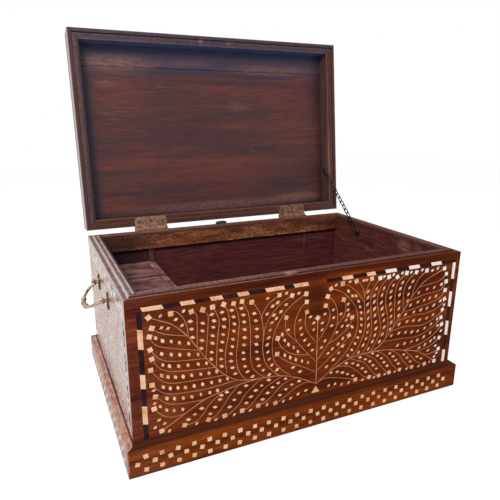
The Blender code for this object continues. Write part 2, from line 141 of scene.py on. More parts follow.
def bands(tree, value, places, paints):
    node = wire(tree, "ValToRGB", {0: value})
    stripes = node.color_ramp.elements
    while len(stripes) < len(places):
        stripes.new(0.5)
    for stripe, place, paint in zip(stripes, places, paints):
        stripe.position = place
        stripe.color = tone(*paint)
    return node.outputs[0]


def ridge(tree, value, centre, width, core=0.35):
    away = sums(tree, "ABSOLUTE", sums(tree, "SUBTRACT", value, centre))
    return eased(tree, away, width * core, width, 1.0, 0.0)


def seenRays(tree):
    # 1 for what the camera sees, straight on, mirrored or through glass
    rays = wire(tree, "LightPath", {}).outputs
    seen = sums(tree, "MAXIMUM", rays["Is Camera Ray"], rays["Is Glossy Ray"])
    return sums(tree, "MAXIMUM", seen, rays["Is Transmission Ray"])


def startFinish(name):
    made = bpy.data.materials.new(name)
    made.use_nodes = True
    return made, made.node_tree, made.node_tree.nodes["Principled BSDF"]


def wear(tree, shader, height, strength, depth):
    bump = wire(tree, "Bump", {"Height": height, "Strength": strength, "Distance": depth})
    tree.links.new(bump.outputs[0], shader.inputs["Normal"])


def objectPlace(tree):
    return wire(tree, "TexCoord", {}).outputs["Object"]


# small helpers for meshes
def vertsOf(items):
    return [item for item in items if isinstance(item, bmesh.types.BMVert)]


def edgesOf(items):
    return [item for item in items if isinstance(item, bmesh.types.BMEdge)]


def ringEdges(verts):
    return list({edge for vert in verts for edge in vert.link_edges})


def weld(bm, within):
    bmesh.ops.remove_doubles(bm, verts=bm.verts, dist=within)
    bmesh.ops.recalc_face_normals(bm, faces=bm.faces)


def addTo(whole, part):
    # copies one bmesh into another and frees it
    passing = bpy.data.meshes.new("passing")
    part.to_mesh(passing)
    part.free()
    whole.from_mesh(passing)
    bpy.data.meshes.remove(passing)


def keepPiece(name, bm, finish, body, smooth=False):
    for face in bm.faces:
        face.smooth = smooth
    mesh = bpy.data.meshes.new(name)
    bm.to_mesh(mesh)
    bm.free()
    mesh.materials.append(finish)
    piece = bpy.data.objects.new(name, mesh)
    scene.collection.objects.link(piece)
    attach(piece, body)
    return piece


# world: white where it is seen or mirrored, a cool soft fill for the rest
world = bpy.data.worlds.new("studio")
scene.world = world
world.use_nodes = True
air = world.node_tree
air.nodes.clear()
fillSky = wire(air, "Background", {"Color": studio["fillTint"], "Strength": studio["fill"]})
whiteSky = wire(air, "Background", {"Color": white, "Strength": 1.0})
sky = wire(air, "MixShader", {0: seenRays(air), 1: fillSky.outputs[0], 2: whiteSky.outputs[0]})
wire(air, "OutputWorld", {0: sky.outputs[0]})

# floor: the camera sees it glow nearly white, with the box's shadow on it
floor = {"half": 4.0, "shadow": (0.35, 0.35, 0.35, 1), "glow": 0.84, "colour": (0.80, 0.80, 0.80, 1),
         "rough": 0.9}
bm = bmesh.new()
bmesh.ops.create_grid(bm, x_segments=1, y_segments=1, size=floor["half"])
floorMesh = bpy.data.meshes.new("floor")
bm.to_mesh(floorMesh)
bm.free()
floorPiece = bpy.data.objects.new("floor", floorMesh)
scene.collection.objects.link(floorPiece)
floorFinish, tree, shader = startFinish("paleFloor")
feed(tree, shader, {"Base Color": floor["colour"], "Roughness": floor["rough"], "Specular IOR Level": 0.0})
paper = wire(tree, "BsdfDiffuse", {"Color": floor["shadow"]})
glow = wire(tree, "Emission", {"Color": white, "Strength": floor["glow"]})
lit = wire(tree, "AddShader", {0: paper.outputs[0], 1: glow.outputs[0]})
both = wire(tree, "MixShader", {0: seenRays(tree), 1: shader.outputs[0], 2: lit.outputs[0]})
tree.links.new(both.outputs[0], tree.nodes["Material Output"].inputs[0])
floorMesh.materials.append(floorFinish)
print("camera, light and floor set")


# woods; clouds are given as scale, detail and roughness, and spans as low, high and what they become
plainWood = {"squeeze": 14, "shift": (0, 0, 0), "figure": 3.2, "contrast": (0.66, 1.22), "stain": 8,
             "stainShare": 0.45, "streaks": (), "grimeAndShade": (), "marks": (), "polish": 0.0, "bump": 0.25,
             "glossTint": white, "coolSpan": (-0.31, -0.21), "hotSpan": (-0.20, 0.28)}
# the rim's span of heights and the softness of its marks, in millimetres, how far the marks fade, and how
# much rougher wear makes the tops
rimBand = {"rise": (-1.4, -0.2), "end": (3.8, 5.0), "soft": 0.7, "faded": 0.3, "roughen": 0.10}


def shutLid(tree, place, kind):
    # patterns on the lid are drawn as if it were shut
    inputs = {"Vector": place, "Rotation": (lidHinge["open"], 0, 0)}
    if kind == "POINT":
        inputs["Location"] = tuple(openLid.inverted().translation)
    return wire(tree, "Mapping", inputs, vector_type=kind).outputs[0]


def awayFrom(tree, place, centre, reach):
    # how far a point lies from a mark, with 1 at the mark's edge
    offset = wire(tree, "VectorMath", {0: place, 1: centre}, operation="SUBTRACT").outputs[0]
    scaled = wire(tree, "VectorMath", {0: offset, 1: reach}, operation="DIVIDE").outputs[0]
    return wire(tree, "VectorMath", {0: scaled}, operation="LENGTH").outputs["Value"]


def grainScale(look, across, along=1):
    scale = [across] * 3
    scale["xyz".index(look["grain"])] = along
    return scale


def startWood(tree, look):
    # the patterns that the stages of a wood share
    source = wire(tree, "TexCoord", {}).outputs
    place, facing = source["Object"], source["Normal"]
    if look.get("onLid"):
        place, facing = shutLid(tree, place, "POINT"), shutLid(tree, facing, "VECTOR")
    inputs = {"Vector": place, "Scale": grainScale(look, look["squeeze"]), "Location": look["shift"]}
    along = wire(tree, "Mapping", inputs).outputs[0]
    fine = cloud(tree, along, 26, 3, 0.6)
    shade = eased(tree, fine, 0.25, 0.78, *look["contrast"])
    return {"place": place, "facing": facing, "along": along, "fine": fine,
            "axes": wire(tree, "SeparateXYZ", {0: place}).outputs,
            "figure": cloud(tree, along, look["figure"], 5, 0.58, 0.7),
            "pores": eased(tree, cloud(tree, along, 70, 1.5), 0.60, 0.70),
            "stain": cloud(tree, place, look["stain"], 3),
            "shading": wire(tree, "CombineColor", {0: shade, 1: shade, 2: shade}).outputs[0],
            "rough": eased(tree, fine, 0.2, 0.8, look["rough"] - 0.06, look["rough"] + 0.10),
            "gloss": look["polish"], "under": None, "within": None}


def boardColour(tree, look, wood):
    place, figure = wood["place"], wood["figure"]
    x, y, z = wood["axes"]
    colour = bands(tree, figure, (0.30, 0.43, 0.55, 0.72), look["tones"])
    colour = tinted(tree, colour, wood["shading"])
    stained = eased(tree, wood["stain"], 0.42, 0.70, 0.0, look["stainShare"])
    colour = painted(tree, colour, stained, look["stainTone"])
    colour = painted(tree, colour, times(tree, wood["pores"], 0.55), look["tones"][0])
    for centre, reach, share in look["streaks"]:
        # soft dark streaks of heartwood, and on the front a band of painted shade just above the plinth,
        # broken up by the figure
        away = sums(tree, "ADD", awayFrom(tree, place, centre, reach), times(tree, figure, 1.5))
        colour = painted(tree, colour, eased(tree, away, 0.7, 1.8, share, 0.0), look["streakTone"])
    if look.get("topTint"):
        # shade and scuffs stay on the lid's underside, and its top is nearer the front's colour
        under = eased(tree, z, chest["lidFloor"] + 1 * mm, chest["lidFloor"] + 2 * mm, 1.0, 0.0)
        wood["under"] = wood["within"] = under
        colour = tinted(tree, colour, mixed(tree, under, look["topTint"], white))
    if look.get("drift"):
        # the board is cooler at its left end and warmest at its right end
        cool, even, hot = look["drift"]
        drift = mixed(tree, eased(tree, x, *look["hotSpan"]), even, hot)
        colour = tinted(tree, colour, mixed(tree, eased(tree, x, *look["coolSpan"]), cool, drift))
    if look.get("slit"):
        # shade in the slit between the two top boards
        spot, wide, paint = look["slit"]
        colour = painted(tree, colour, ridge(tree, y, spot, wide), paint)
    if look.get("scratch"):
        # thin pale scratches, at a lean to the grain and only here and there
        share, paint, lean, few = look["scratch"]
        inputs = {"Vector": place, "Rotation": lean, "Scale": grainScale(look, 90, 7)}
        turned = wire(tree, "Mapping", inputs).outputs[0]
        lines = eased(tree, cloud(tree, turned, 3.0, 2, 0.5), few, few + 0.06)
        lines = times(tree, lines, eased(tree, cloud(tree, place, 9, 2), few - 0.18, few - 0.02))
        colour = painted(tree, colour, times(tree, lines, share), paint)
    return colour


def rimWearAndPaintedLight(tree, look, wood, colour):
    # by the distance in from the outer faces: mottled tops of wear and painted sheen, pale worn arrises with
    # some painted highlight, and dark lines of painted shade in the steps and grooves
    rim, low = look["rim"], chest["rim"]
    x, y, z = wood["axes"]
    inX = sums(tree, "SUBTRACT", halfLength, sums(tree, "ABSOLUTE", x))
    inY = sums(tree, "SUBTRACT", halfDepth, sums(tree, "ABSOLUTE", y))
    inward = sums(tree, "MINIMUM", inX, inY)
    mottle = cloud(tree, wood["place"], 240, 4, 0.7)
    lineBreakup = eased(tree, mottle, 0.34, 0.58, 0.35, 1.0)
    if look.get("outerTint"):
        # outer faces are nearer the front's colour
        outer = mixed(tree, eased(tree, inward, 0.3 * mm, 0.7 * mm), look["outerTint"], white)
        colour = tinted(tree, colour, outer)
    if look["polish"]:
        wood["gloss"] = eased(tree, inward, 0.2 * mm, 0.6 * mm, look["polish"], 0.0)
    if look.get("inside"):
        paint, depth, share = look["inside"]
        wood["within"] = eased(tree, inward, depth - 0.8 * mm, depth - 0.2 * mm)
        inner = tinted(tree, painted(tree, colour, share, paint), wood["shading"])
        colour = mixed(tree, wood["within"], colour, inner)
    rise, end = ([low + height * mm for height in rimBand[part]] for part in ("rise", "end"))
    level = times(tree, eased(tree, z, *rise), eased(tree, z, *end, 1.0, 0.0))
    if "fade" in rim:
        level = times(tree, level, eased(tree, x, *rim["fade"], 1.0, rimBand["faded"]))
    up = times(tree, wire(tree, "SeparateXYZ", {0: wood["facing"]}).outputs[2], rim["way"])
    start, soft = rim["start"] * mm, rimBand["soft"] * mm
    top = times(tree, eased(tree, up, 0.55, 0.85), level)
    top = times(tree, top, eased(tree, inward, start - soft, start + soft))
    # the tops' mottled tone is wear with painted sheen
    wornAndSheen = painted(tree, tone(*rim["tone"]), eased(tree, mottle, 0.36, 0.64), rim["mottle"])
    colour = mixed(tree, times(tree, top, rim["share"]), colour, wornAndSheen)
    # pale lines of wear and painted highlight, dark lines of painted shade
    for spot, wide, share, paint in rim["lines"]:
        line = times(tree, ridge(tree, inward, spot * mm, wide * mm), lineBreakup)
        line = times(tree, line, level)
        colour = painted(tree, colour, times(tree, line, share), paint)
    wood["rough"] = sums(tree, "ADD", wood["rough"], times(tree, top, rimBand["roughen"]))
    return colour


def paintedShadeAndMarks(tree, look, wood, colour):
    for axis, start, end, share, paint in look["grimeAndShade"]:
        # painted shade that thins out from an edge
        shadeMask = eased(tree, wood["axes"][axis], start, end, 1.0, 0.0)
        shadeMask = sums(tree, "ADD", shadeMask, times(tree, wood["stain"], 0.3))
        shadeMask = eased(tree, shadeMask, 0.15, 1.1, 0.0, share)
        if wood["within"]:
            shadeMask = times(tree, shadeMask, wood["within"])
        colour = painted(tree, colour, shadeMask, paint)
    # scuffs and patches at their own places, a few of them painted highlight, sheen and shade, broken up by
    # the grain
    raggedEdge = times(tree, cloud(tree, wood["along"], 9, 4, 0.7), 0.9)
    blots = wire(tree, "Mapping", {"Vector": wood["place"], "Scale": grainScale(look, 3.5)}).outputs[0]
    speckled = eased(tree, cloud(tree, blots, 62, 5, 0.75), 0.40, 0.60, 0.3, 1.0)
    for centre, reach, share, paint in look["marks"]:
        away = sums(tree, "ADD", awayFrom(tree, wood["place"], centre, reach), raggedEdge)
        patch = times(tree, eased(tree, away, 0.75, 1.55, share, 0.0), speckled)
        if wood["under"]:
            patch = times(tree, patch, wood["under"])
        colour = painted(tree, colour, patch, paint)
    return colour


def woodFinish(name, ownLook):
    look = dict(plainWood, **ownLook)
    made, tree, shader = startFinish(name)
    wood = startWood(tree, look)
    colour = boardColour(tree, look, wood)
    if look.get("rim"):
        colour = rimWearAndPaintedLight(tree, look, wood, colour)
    colour = paintedShadeAndMarks(tree, look, wood, colour)
    feed(tree, shader, {"Base Color": colour, "Roughness": wood["rough"], "Coat Weight": wood["gloss"],
                        "Specular IOR Level": look["shine"], "Specular Tint": look["glossTint"],
                        "Coat Roughness": 0.3})
    height = sums(tree, "SUBTRACT", wood["fine"], times(tree, wood["pores"], 0.8))
    wear(tree, shader, height, look["bump"], 0.5 * mm)
    return made


def onFace(axis, level, depth, rows):
    # marks on a face across an axis, from two places, two reaches and the rest of each row
    marks = []
    for first, second, wide, tall, *rest in rows:
        centre, reach = [first, second], [wide, tall]
        centre.insert(axis, level)
        reach.insert(axis, depth)
        marks.append((centre, reach, *rest))
    return marks


# tones run from dark to pale; painted shade is axis, start, end, share and tone; rim lines are in millimetres
# the first is pale wear with painted highlight, for the left rim; the second is pale wear; the third is
# painted shade for the dark lines in the rims' steps and grooves
wornAndLitEdge, dimEdge, grooveShade = (232, 213, 208), (150, 114, 108), (50, 29, 27)
board, lidRail, coolGloss = chest["board"], chest["lidRail"], (0.90, 0.94, 1.0, 1)
woods = {}
woods["front"] = {
    "grain": "x", "rough": 0.46, "shine": 0.03, "stainTone": (88, 36, 12), "contrast": (0.56, 1.30),
    "tones": ((72, 26, 8), (104, 44, 15), (124, 57, 20), (148, 73, 28)),
    "drift": ((0.92, 0.98, 2.2, 1), (1.06, 1.0, 0.85, 1), (0.96, 0.74, 0.12, 1)),
    "inside": ((96, 50, 46), board, 0.8), "streakTone": (54, 18, 16),
    "streaks": onFace(1, -halfDepth, 1, (
        (-0.13, 0.083, 0.17, 0.024, 0.8), (-0.10, 0.160, 0.05, 0.035, 0.6), (0.0, 0.235, 0.03, 0.06, 0.7),
        (0.20, 0.225, 0.12, 0.03, 0.5), (-0.22, 0.235, 0.09, 0.02, 0.4), (0.0, 0.270, 0.7, 0.011, 0.75),
        # the band at 0.049, along the whole front, is painted shade where the front meets the plinth
        (0.0, 0.049, 0.7, 0.007, 0.8), (0.04, 0.075, 0.10, 0.018, 0.6), (-0.296, 0.12, 0.012, 0.16, 0.45))),
    "marks": (((-0.045, -0.1875, 0.276), (0.013, 0.009, 0.004), 0.85, (196, 150, 128)),),
    # the front rim's mottled tops are wear and painted sheen; at 11.6 mm a line of painted shade stands for
    # the step, whose riser at 8.5 mm is painted over in the rim's tone
    "rim": {"way": 1, "share": 0.85, "tone": (98, 68, 66), "mottle": (160, 126, 122), "start": 4.6,
            "fade": (-0.22, 0.16),
            "lines": ((6.4, 1.6, 0.6, (172, 140, 132)), (8.5, 1.0, 0.6, (96, 66, 62)),
                      (10.0, 1.0, 0.5, dimEdge), (11.6, 1.1, 0.85, grooveShade), (14.5, 1.6, 0.35, dimEdge),
                      (20.6, 1.8, 0.6, dimEdge))},
}
woods["end"] = dict(
    woods["front"], grain="y", rough=0.24, shine=0.25, streaks=(), shift=(0.7, 0.3, 0.1), polish=0.8,
    # the dark inside is painted shade on the left board's inner face
    glossTint=(1.0, 0.90, 0.88, 1), inside=((44, 28, 34), board, 0.9), marks=(), drift=None,
    # the left rim is painted paler for the light from the left, with a painted highlight on the riser at 8.6
    # mm among the pale worn lines, and painted shade on the inner arris at 20.4 mm
    rim={"way": 1, "share": 0.9, "tone": (100, 82, 86), "mottle": (174, 148, 148), "start": 0.0,
         "lines": ((0.4, 1.2, 0.6, wornAndLitEdge), (8.6, 2.0, 1.0, wornAndLitEdge), (16.6, 1.6, 1.0, wornAndLitEdge),
                   (20.4, 2.4, 0.9, (50, 36, 42)))})
woods["rightEnd"] = dict(
    woods["end"], inside=((106, 62, 58), board, 0.78), contrast=(0.56, 1.36), shine=0.06, rough=0.45,
    polish=0.15,
    rim={"way": 1, "share": 0.5, "tone": (84, 52, 46), "mottle": (116, 78, 66), "start": 0.0,
         # the dark line at the step, 8.6 mm, is painted shade
         "lines": ((0.4, 1.2, 0.6, (158, 104, 72)), (8.6, 1.2, 0.6, grooveShade), (21.4, 1.4, 0.4, dimEdge))},
    marks=onFace(0, 0.283, 0.004, (
        (-0.075, 0.254, 0.026, 0.018, 1.0, (150, 110, 88)), (-0.112, 0.258, 0.016, 0.012, 0.6, (132, 92, 84)),
        (0.044, 0.2205, 0.010, 0.008, 0.9, (116, 100, 90)), (0.10, 0.265, 0.2, 0.006, 0.6, (40, 24, 24)),
        (0.05, 0.232, 0.04, 0.012, 0.5, (44, 26, 32)), (0.170, 0.255, 0.004, 0.016, 0.6, (126, 100, 88)))))
woods["bottom"] = dict(woods["front"], streaks=(), shift=(0.2, 0.5, 0.4))
woods["back"] = dict(
    woods["front"], streaks=(), shift=(0.9, 0.2, 0.6), inside=((84, 48, 54), board, 0.76),
    contrast=(0.64, 1.28), scratch=(0.3, (120, 80, 74), (0, 0, 0.02), 0.64),
    # painted shade, darker towards the left end of the inside, where the left board shades it
    grimeAndShade=((0, -0.260, -0.110, 0.85, (34, 27, 38)),),
    marks=onFace(1, 0.176, 0.01, (
        (0.279, 0.21, 0.004, 0.06, 0.5, (34, 20, 18)), (0.195, 0.215, 0.0025, 0.03, 0.8, (126, 88, 76)),
        (0.235, 0.200, 0.03, 0.0025, 0.8, (112, 76, 66)), (0.20, 0.222, 0.07, 0.002, 0.6, (120, 80, 70)))))
woods["plinth"] = {
    "grain": "x", "rough": 0.48, "shine": 0.03, "stainTone": (92, 40, 12), "shift": (0.3, 0.1, 0.2),
    "tones": ((76, 30, 8), (112, 50, 16), (134, 63, 20), (156, 79, 30)), "contrast": (0.56, 1.30),
    "drift": ((0.95, 1.04, 2.0, 1), (1.02, 0.98, 0.9, 1), (0.92, 0.76, 0.24, 1)),
    # painted shade in the cove under the front board and along the bottom edge
    "grimeAndShade": ((2, 0.0475, 0.0445, 0.7, (66, 37, 28)), (2, 0.0, 0.005, 0.5, (66, 37, 28))),
    # the first mark is a painted highlight along the moulding below the cove
    "marks": (((0.08, -0.21, 0.0385), (0.26, 0.02, 0.0035), 0.4, (158, 88, 32)),
              ((-0.3165, -0.2095, 0.022), (0.0022, 0.006, 0.04), 0.75, (196, 156, 142))),
}
woods["plinthEnd"] = dict(
    woods["plinth"], grain="y", rough=0.32, shine=0.2, shift=(0.1, 0.6, 0.3), polish=0.05, drift=None,
    # paler tones than the front plinth's, painted highlight for the bright light on the left side
    tones=((110, 60, 40), (146, 88, 64), (164, 104, 78), (188, 132, 106)), glossTint=(1.0, 0.84, 0.78, 1),
    # painted shade in the cove under the left board
    grimeAndShade=((2, 0.0505, 0.0476, 0.85, (52, 28, 22)),),
    # a painted sheen on the ledge
    marks=(((-0.3125, 0, 0.0468), (0.016, 0.9, 0.0028), 1.0, (220, 172, 154)),))
woods["plinthRight"] = dict(woods["plinth"], grain="y", shift=(0.5, 0.2, 0.7),
                            drift=(white, white, (1, 0.94, 0.8, 1)))
woods["lidInside"] = {
    "grain": "x", "onLid": True, "rough": 0.40, "shine": 0.34, "stainTone": (56, 32, 36), "stain": 6,
    "stainShare": 0.6, "figure": 2.6, "bump": 0.3, "glossTint": (0.86, 0.93, 1.0, 1), "squeeze": 15,
    "contrast": (0.62, 1.30), "topTint": (1.5, 1.25, 0.45, 1),
    "scratch": (0.24, (128, 90, 84), (0, 0, 0.03), 0.61),
    "tones": ((64, 34, 36), (80, 40, 38), (92, 45, 40), (106, 53, 46)),
    # painted shade along the edges of the recess: navy below the front rail, darker by the side rails and the
    # back rail
    "grimeAndShade": ((1, -0.178, -0.150, 0.95, (50, 52, 82)), (1, -0.150, -0.100, 0.5, (50, 52, 82)),
              (0, -0.288, -0.245, 0.8, (44, 36, 48)), (0, 0.290, 0.262, 0.5, (40, 30, 36)),
              (1, 0.180, 0.158, 0.7, (46, 33, 38))),
    "marks": onFace(2, 0.31, 0.1, (
        (0.20, 0.128, 0.10, 0.022, 0.95, (34, 23, 29)), (0.205, 0.160, 0.08, 0.014, 0.85, (130, 90, 78)),
        (0.10, -0.125, 0.17, 0.006, 0.7, (40, 28, 38)), (-0.12, -0.128, 0.18, 0.007, 0.7, (40, 30, 42)),
        # the wide bluish band at -0.140 adds painted shade below the front rail
        (0.0, -0.140, 0.34, 0.022, 0.55, (52, 42, 58)), (-0.21, -0.141, 0.10, 0.022, 0.85, (134, 94, 86)),
        (-0.07, -0.146, 0.10, 0.010, 0.5, (114, 82, 82)), (0.15, -0.139, 0.15, 0.014, 0.75, (122, 85, 78)),
        (-0.235, -0.10, 0.03, 0.012, 0.5, (132, 86, 76)), (0.06, -0.055, 0.04, 0.016, 0.4, (120, 80, 76)),
        (0.265, -0.06, 0.02, 0.08, 0.5, (46, 32, 38)), (0.0, 0.168, 0.26, 0.014, 0.7, (118, 84, 78)),
        (0.02, 0.02, 0.15, 0.022, 0.5, (50, 34, 42)), (0.05, 0.085, 0.22, 0.04, 0.45, (112, 52, 36)))),
}
woods["lidRail"] = {
    "grain": "x", "onLid": True, "rough": 0.40, "shine": 0.26, "stainTone": (58, 30, 30),
    "glossTint": (1.0, 0.95, 0.93, 1), "contrast": (0.62, 1.26), "outerTint": (1.6, 1.3, 0.6, 1),
    "tones": ((50, 25, 22), (70, 34, 29), (84, 41, 33), (106, 55, 42)),
    "marks": (((-0.034, -0.187, 0.27), (0.006, 0.006, 0.02), 0.9, (176, 132, 110)),
              ((0.032, -0.187, 0.27), (0.009, 0.006, 0.02), 0.7, (140, 98, 84)),
              ((0.0, -0.187, 0.27), (0.034, 0.008, 0.02), 0.35, (50, 34, 40))),
    "rim": {"way": -1, "share": 0.4, "tone": (66, 37, 33), "mottle": (114, 68, 57), "start": 0.0,
            # the dark lines at 4.4, 7.6 and 14.5 mm are painted shade
            "lines": ((0.4, 1.2, 0.5, dimEdge), (4.4, 1.0, 0.45, grooveShade), (7.6, 1.3, 0.6, grooveShade),
                      (9.6, 1.1, 0.25, dimEdge), (14.5, 0.9, 0.4, grooveShade), (19.6, 1.3, 0.5, dimEdge))},
}
# the front and left rails' rims are painted in cool dark tones, wear with painted shade; on the left rail the
# lines at 4.0 and 7.6 mm and the dark inner arris at 18.2 mm are painted shade too
coolRim = dict(woods["lidRail"]["rim"], tone=(52, 46, 60), mottle=(86, 74, 84), share=0.8)
leftRim = dict(coolRim, tone=(60, 40, 45), mottle=(92, 64, 66),
               lines=((0.4, 1.2, 0.5, dimEdge), (4.0, 1.3, 0.8, grooveShade), (7.6, 1.2, 0.75, grooveShade),
                      (9.4, 1.3, 0.45, dimEdge), (13.0, 1.2, 0.3, dimEdge), (18.2, 2.6, 0.85, (46, 34, 40))))
# the front rail's inner face is painted bluish dark, painted shade on the recess wall under that rail
woods["lidFrontRail"] = dict(woods["lidRail"], inside=((100, 108, 156), lidRail, 0.92), rim=coolRim,
                             glossTint=coolGloss)
woods["lidRightRail"] = dict(
    woods["lidRail"], grain="y", shift=(0.4, 0.4, 0.2), inside=((98, 70, 72), lidRail, 0.8),
    glossTint=coolGloss,
    marks=(((0.2865, 0.08, 0.275), (0.005, 0.09, 0.02), 0.85, (142, 98, 84)),
           ((0.2855, -0.095, 0.285), (0.006, 0.005, 0.006), 1.0, (24, 16, 16))))
woods["lidLeftRail"] = dict(woods["lidRightRail"], polish=0.9, rim=leftRim)
woods["till"] = {
    "grain": "x", "rough": 0.46, "shine": 0.4, "stainTone": (58, 36, 36), "stain": 34, "stainShare": 0.85,
    "contrast": (0.52, 1.36), "figure": 6, "slit": (0.072, 5.0 * mm, (12, 8, 8)),
    # painted shade towards the left end, where the left board shades the till
    "scratch": (0.5, (176, 134, 126), (0, 0, 0.5), 0.64), "grimeAndShade": ((0, -0.283, -0.225, 0.6, (52, 38, 42)),),
    "tones": ((92, 60, 58), (136, 94, 90), (162, 116, 112), (190, 146, 142)),
}
woods["tillWall"] = dict(woods["till"], grain="y", slit=None)
woods["cleat"] = dict(woods["tillWall"], grain="z", shine=0.2,
                      tones=((62, 38, 34), (84, 52, 46), (96, 60, 52), (110, 70, 60)))
woods["lining"] = {
    "grain": "x", "rough": 0.50, "shine": 0.2, "stainTone": (54, 29, 28), "stain": 300, "squeeze": 5,
    "stainShare": 0.95, "bump": 0.6, "figure": 9, "contrast": (0.45, 1.4),
    "tones": ((86, 48, 36), (122, 70, 48), (150, 90, 58), (204, 134, 86)),
    # painted shade at the left end, less at the right end, and along the top
    "grimeAndShade": ((0, -0.283, -0.150, 0.85, (48, 26, 28)), (0, 0.284, 0.24, 0.4, (48, 26, 28)),
              (2, 0.273, 0.268, 0.6, (48, 26, 28))),
    "marks": (((-0.07, 0.170, 0.262), (0.05, 0.02, 0.008), 0.5, (196, 118, 62)),),
}
wearsWood = {
    "front": ("front_board",), "back": ("back_board",), "bottom": ("bottom_board",), "end": ("left_board",),
    "rightEnd": ("right_board",), "plinth": ("plinth_front", "plinth_back"), "plinthEnd": ("plinth_left",),
    "plinthRight": ("plinth_right",), "lidInside": ("lid_narrow_plank", "lid_wide_plank"),
    "lidFrontRail": ("lid_front_rail",), "lidRail": ("lid_back_rail",), "lidLeftRail": ("lid_left_rail",),
    "lidRightRail": ("lid_right_rail",), "lining": ("back_lining_rail",),
    "till": ("till_fixed_top", "till_lid"), "tillWall": ("till_wall", "till_floor"), "cleat": ("till_cleat",),
}


def dress(names, finish):
    for name in names:
        slots = nodes[name].data.materials
        slots.clear()
        slots.append(finish)


for kind, wearers in wearsWood.items():
    dress(wearers, woodFinish(kind + "Wood", woods[kind]))
print("woods finished")


# metals
def metalFinish(name, look):
    made, tree, shader = startFinish(name)
    place = objectPlace(tree)
    grimeAndShade = cloud(tree, place, look["grimeScale"], 5, 0.65)
    speck = eased(tree, cloud(tree, place, look["speckScale"], 3, 0.7), 0.52, 0.66)
    colour = bands(tree, grimeAndShade, (0.30, 0.50, 0.72), look["tones"])
    colour = painted(tree, colour, times(tree, speck, look["speckShare"]), look["tones"][0])
    rough = eased(tree, grimeAndShade, 0.25, 0.75, look["rough"] + 0.15, look["rough"])
    feed(tree, shader, {"Base Color": colour, "Roughness": rough, "Metallic": look["metal"]})
    wear(tree, shader, sums(tree, "SUBTRACT", grimeAndShade, times(tree, speck, 0.5)), 0.35, 0.3 * mm)
    return made


metals = {
    "hingeBrass": {"tones": ((74, 44, 34), (148, 107, 87), (196, 156, 132)), "grimeScale": 150,
                   "speckScale": 520, "speckShare": 0.8, "rough": 0.5, "metal": 0.25},
    "screwBrass": {"tones": ((52, 32, 26), (100, 70, 58), (136, 102, 84)), "grimeScale": 140,
                   "speckScale": 500, "speckShare": 0.6, "rough": 0.5, "metal": 0.4},
    "handleBrass": {"tones": ((70, 52, 38), (180, 158, 130), (234, 218, 194)), "grimeScale": 60,
                    "speckScale": 260, "speckShare": 0.5, "rough": 0.34, "metal": 0.7},
    "plateBrass": {"tones": ((36, 27, 22), (78, 62, 48), (124, 104, 82)), "grimeScale": 110,
                   "speckScale": 380, "speckShare": 0.6, "rough": 0.40, "metal": 0.8},
    "chainIron": {"tones": ((22, 18, 17), (58, 48, 44), (108, 94, 84)), "grimeScale": 160,
                  "speckScale": 600, "speckShare": 0.6, "rough": 0.42, "metal": 0.75},
}
metals["darkHingeBrass"] = dict(metals["hingeBrass"], tones=((62, 36, 24), (134, 96, 72), (176, 136, 106)))
metal = {name: metalFinish(name, look) for name, look in metals.items()}
dress([name for name in nodes if "_leaf" in name], metal["hingeBrass"])
dress([name for name in nodes if "_leaf" in name and "right" in name], metal["darkHingeBrass"])
dress([name for name in nodes if "_screw" in name or "_pin" in name], metal["screwBrass"])
dress([name for name in nodes if "_nail" in name], metal["chainIron"])
dress(["centre_hinge_stub", "chain_lower_run", "chain_upper_run"], metal["chainIron"])
dress([name for name in nodes if "_plate" in name], metal["plateBrass"])
dress([name for name in nodes if "_bail" in name], metal["handleBrass"])
print("metals finished")


# bone and ebony
def boneFinish(name, look):
    made, tree, shader = startFinish(name)
    place = objectPlace(tree)
    tint = cloud(tree, place, 55, 3, 0.6)
    line = cloud(tree, wire(tree, "Mapping", {"Vector": place, "Scale": (1, 1, 7)}).outputs[0], 260, 3, 0.6)
    colour = bands(tree, tint, (0.28, 0.50, 0.70), look["tones"])
    if "bleach" in look:
        # paler along the right edge and along the right half of the top
        edge, row, left = look["bleach"]
        x, y, z = wire(tree, "SeparateXYZ", {0: place}).outputs
        pale = times(tree, eased(tree, z, row - 4 * mm, row + 4 * mm),
                     eased(tree, x, left - 12 * mm, left + 12 * mm))
        pale = sums(tree, "MAXIMUM", pale, eased(tree, x, edge - 6 * mm, edge + 6 * mm))
        colour = painted(tree, colour, times(tree, pale, 0.95), look["bleached"])
    colour = painted(tree, colour, eased(tree, line, 0.52, 0.75, 0.0, 0.35), look["tones"][0])
    feed(tree, shader, {"Base Color": colour, "Roughness": eased(tree, tint, 0.3, 0.7, 0.50, 0.38),
                        "Specular IOR Level": look["shine"], "Coat Weight": look.get("polish", 0.0),
                        "Coat Roughness": 0.12})
    wear(tree, shader, line, 0.2, 0.2 * mm)
    return made


# tones are old, plain and clean; the pale span is where the right edge, the top row and its right half start
bones = {
    "boneTile": {"tones": ((192, 138, 98), (236, 186, 146), (248, 212, 180)), "shine": 0.3,
                 "bleach": (0.262, 0.234, 0.115), "bleached": (250, 245, 238)},
    "boneVein": {"tones": ((182, 116, 88), (214, 150, 120), (230, 178, 150)), "shine": 0.2,
                 "bleach": (0.262, 0.238, 0.16), "bleached": (242, 208, 190)},
    "ebony": {"tones": ((22, 12, 16), (40, 22, 28), (54, 32, 38)), "shine": 0.06,
              "bleach": (0.02, 0.0, 0.0), "bleached": (38, 15, 7)},
}
for name in tuple(bones):
    # only the front has the pale span, and the left end is polished
    even = {key: value for key, value in bones[name].items() if key != "bleach"}
    bones["plain" + name[0].upper() + name[1:]] = even
    bones["end" + name[0].upper() + name[1:]] = dict(even, polish=0.7, shine=0.25)
# the left end's bone tones are whiter, painted highlight for the bright light on the left side
bones["endBoneTile"]["tones"] = ((210, 172, 150), (238, 212, 194), (248, 232, 220))
bone = {name: boneFinish(name, look) for name, look in bones.items()}


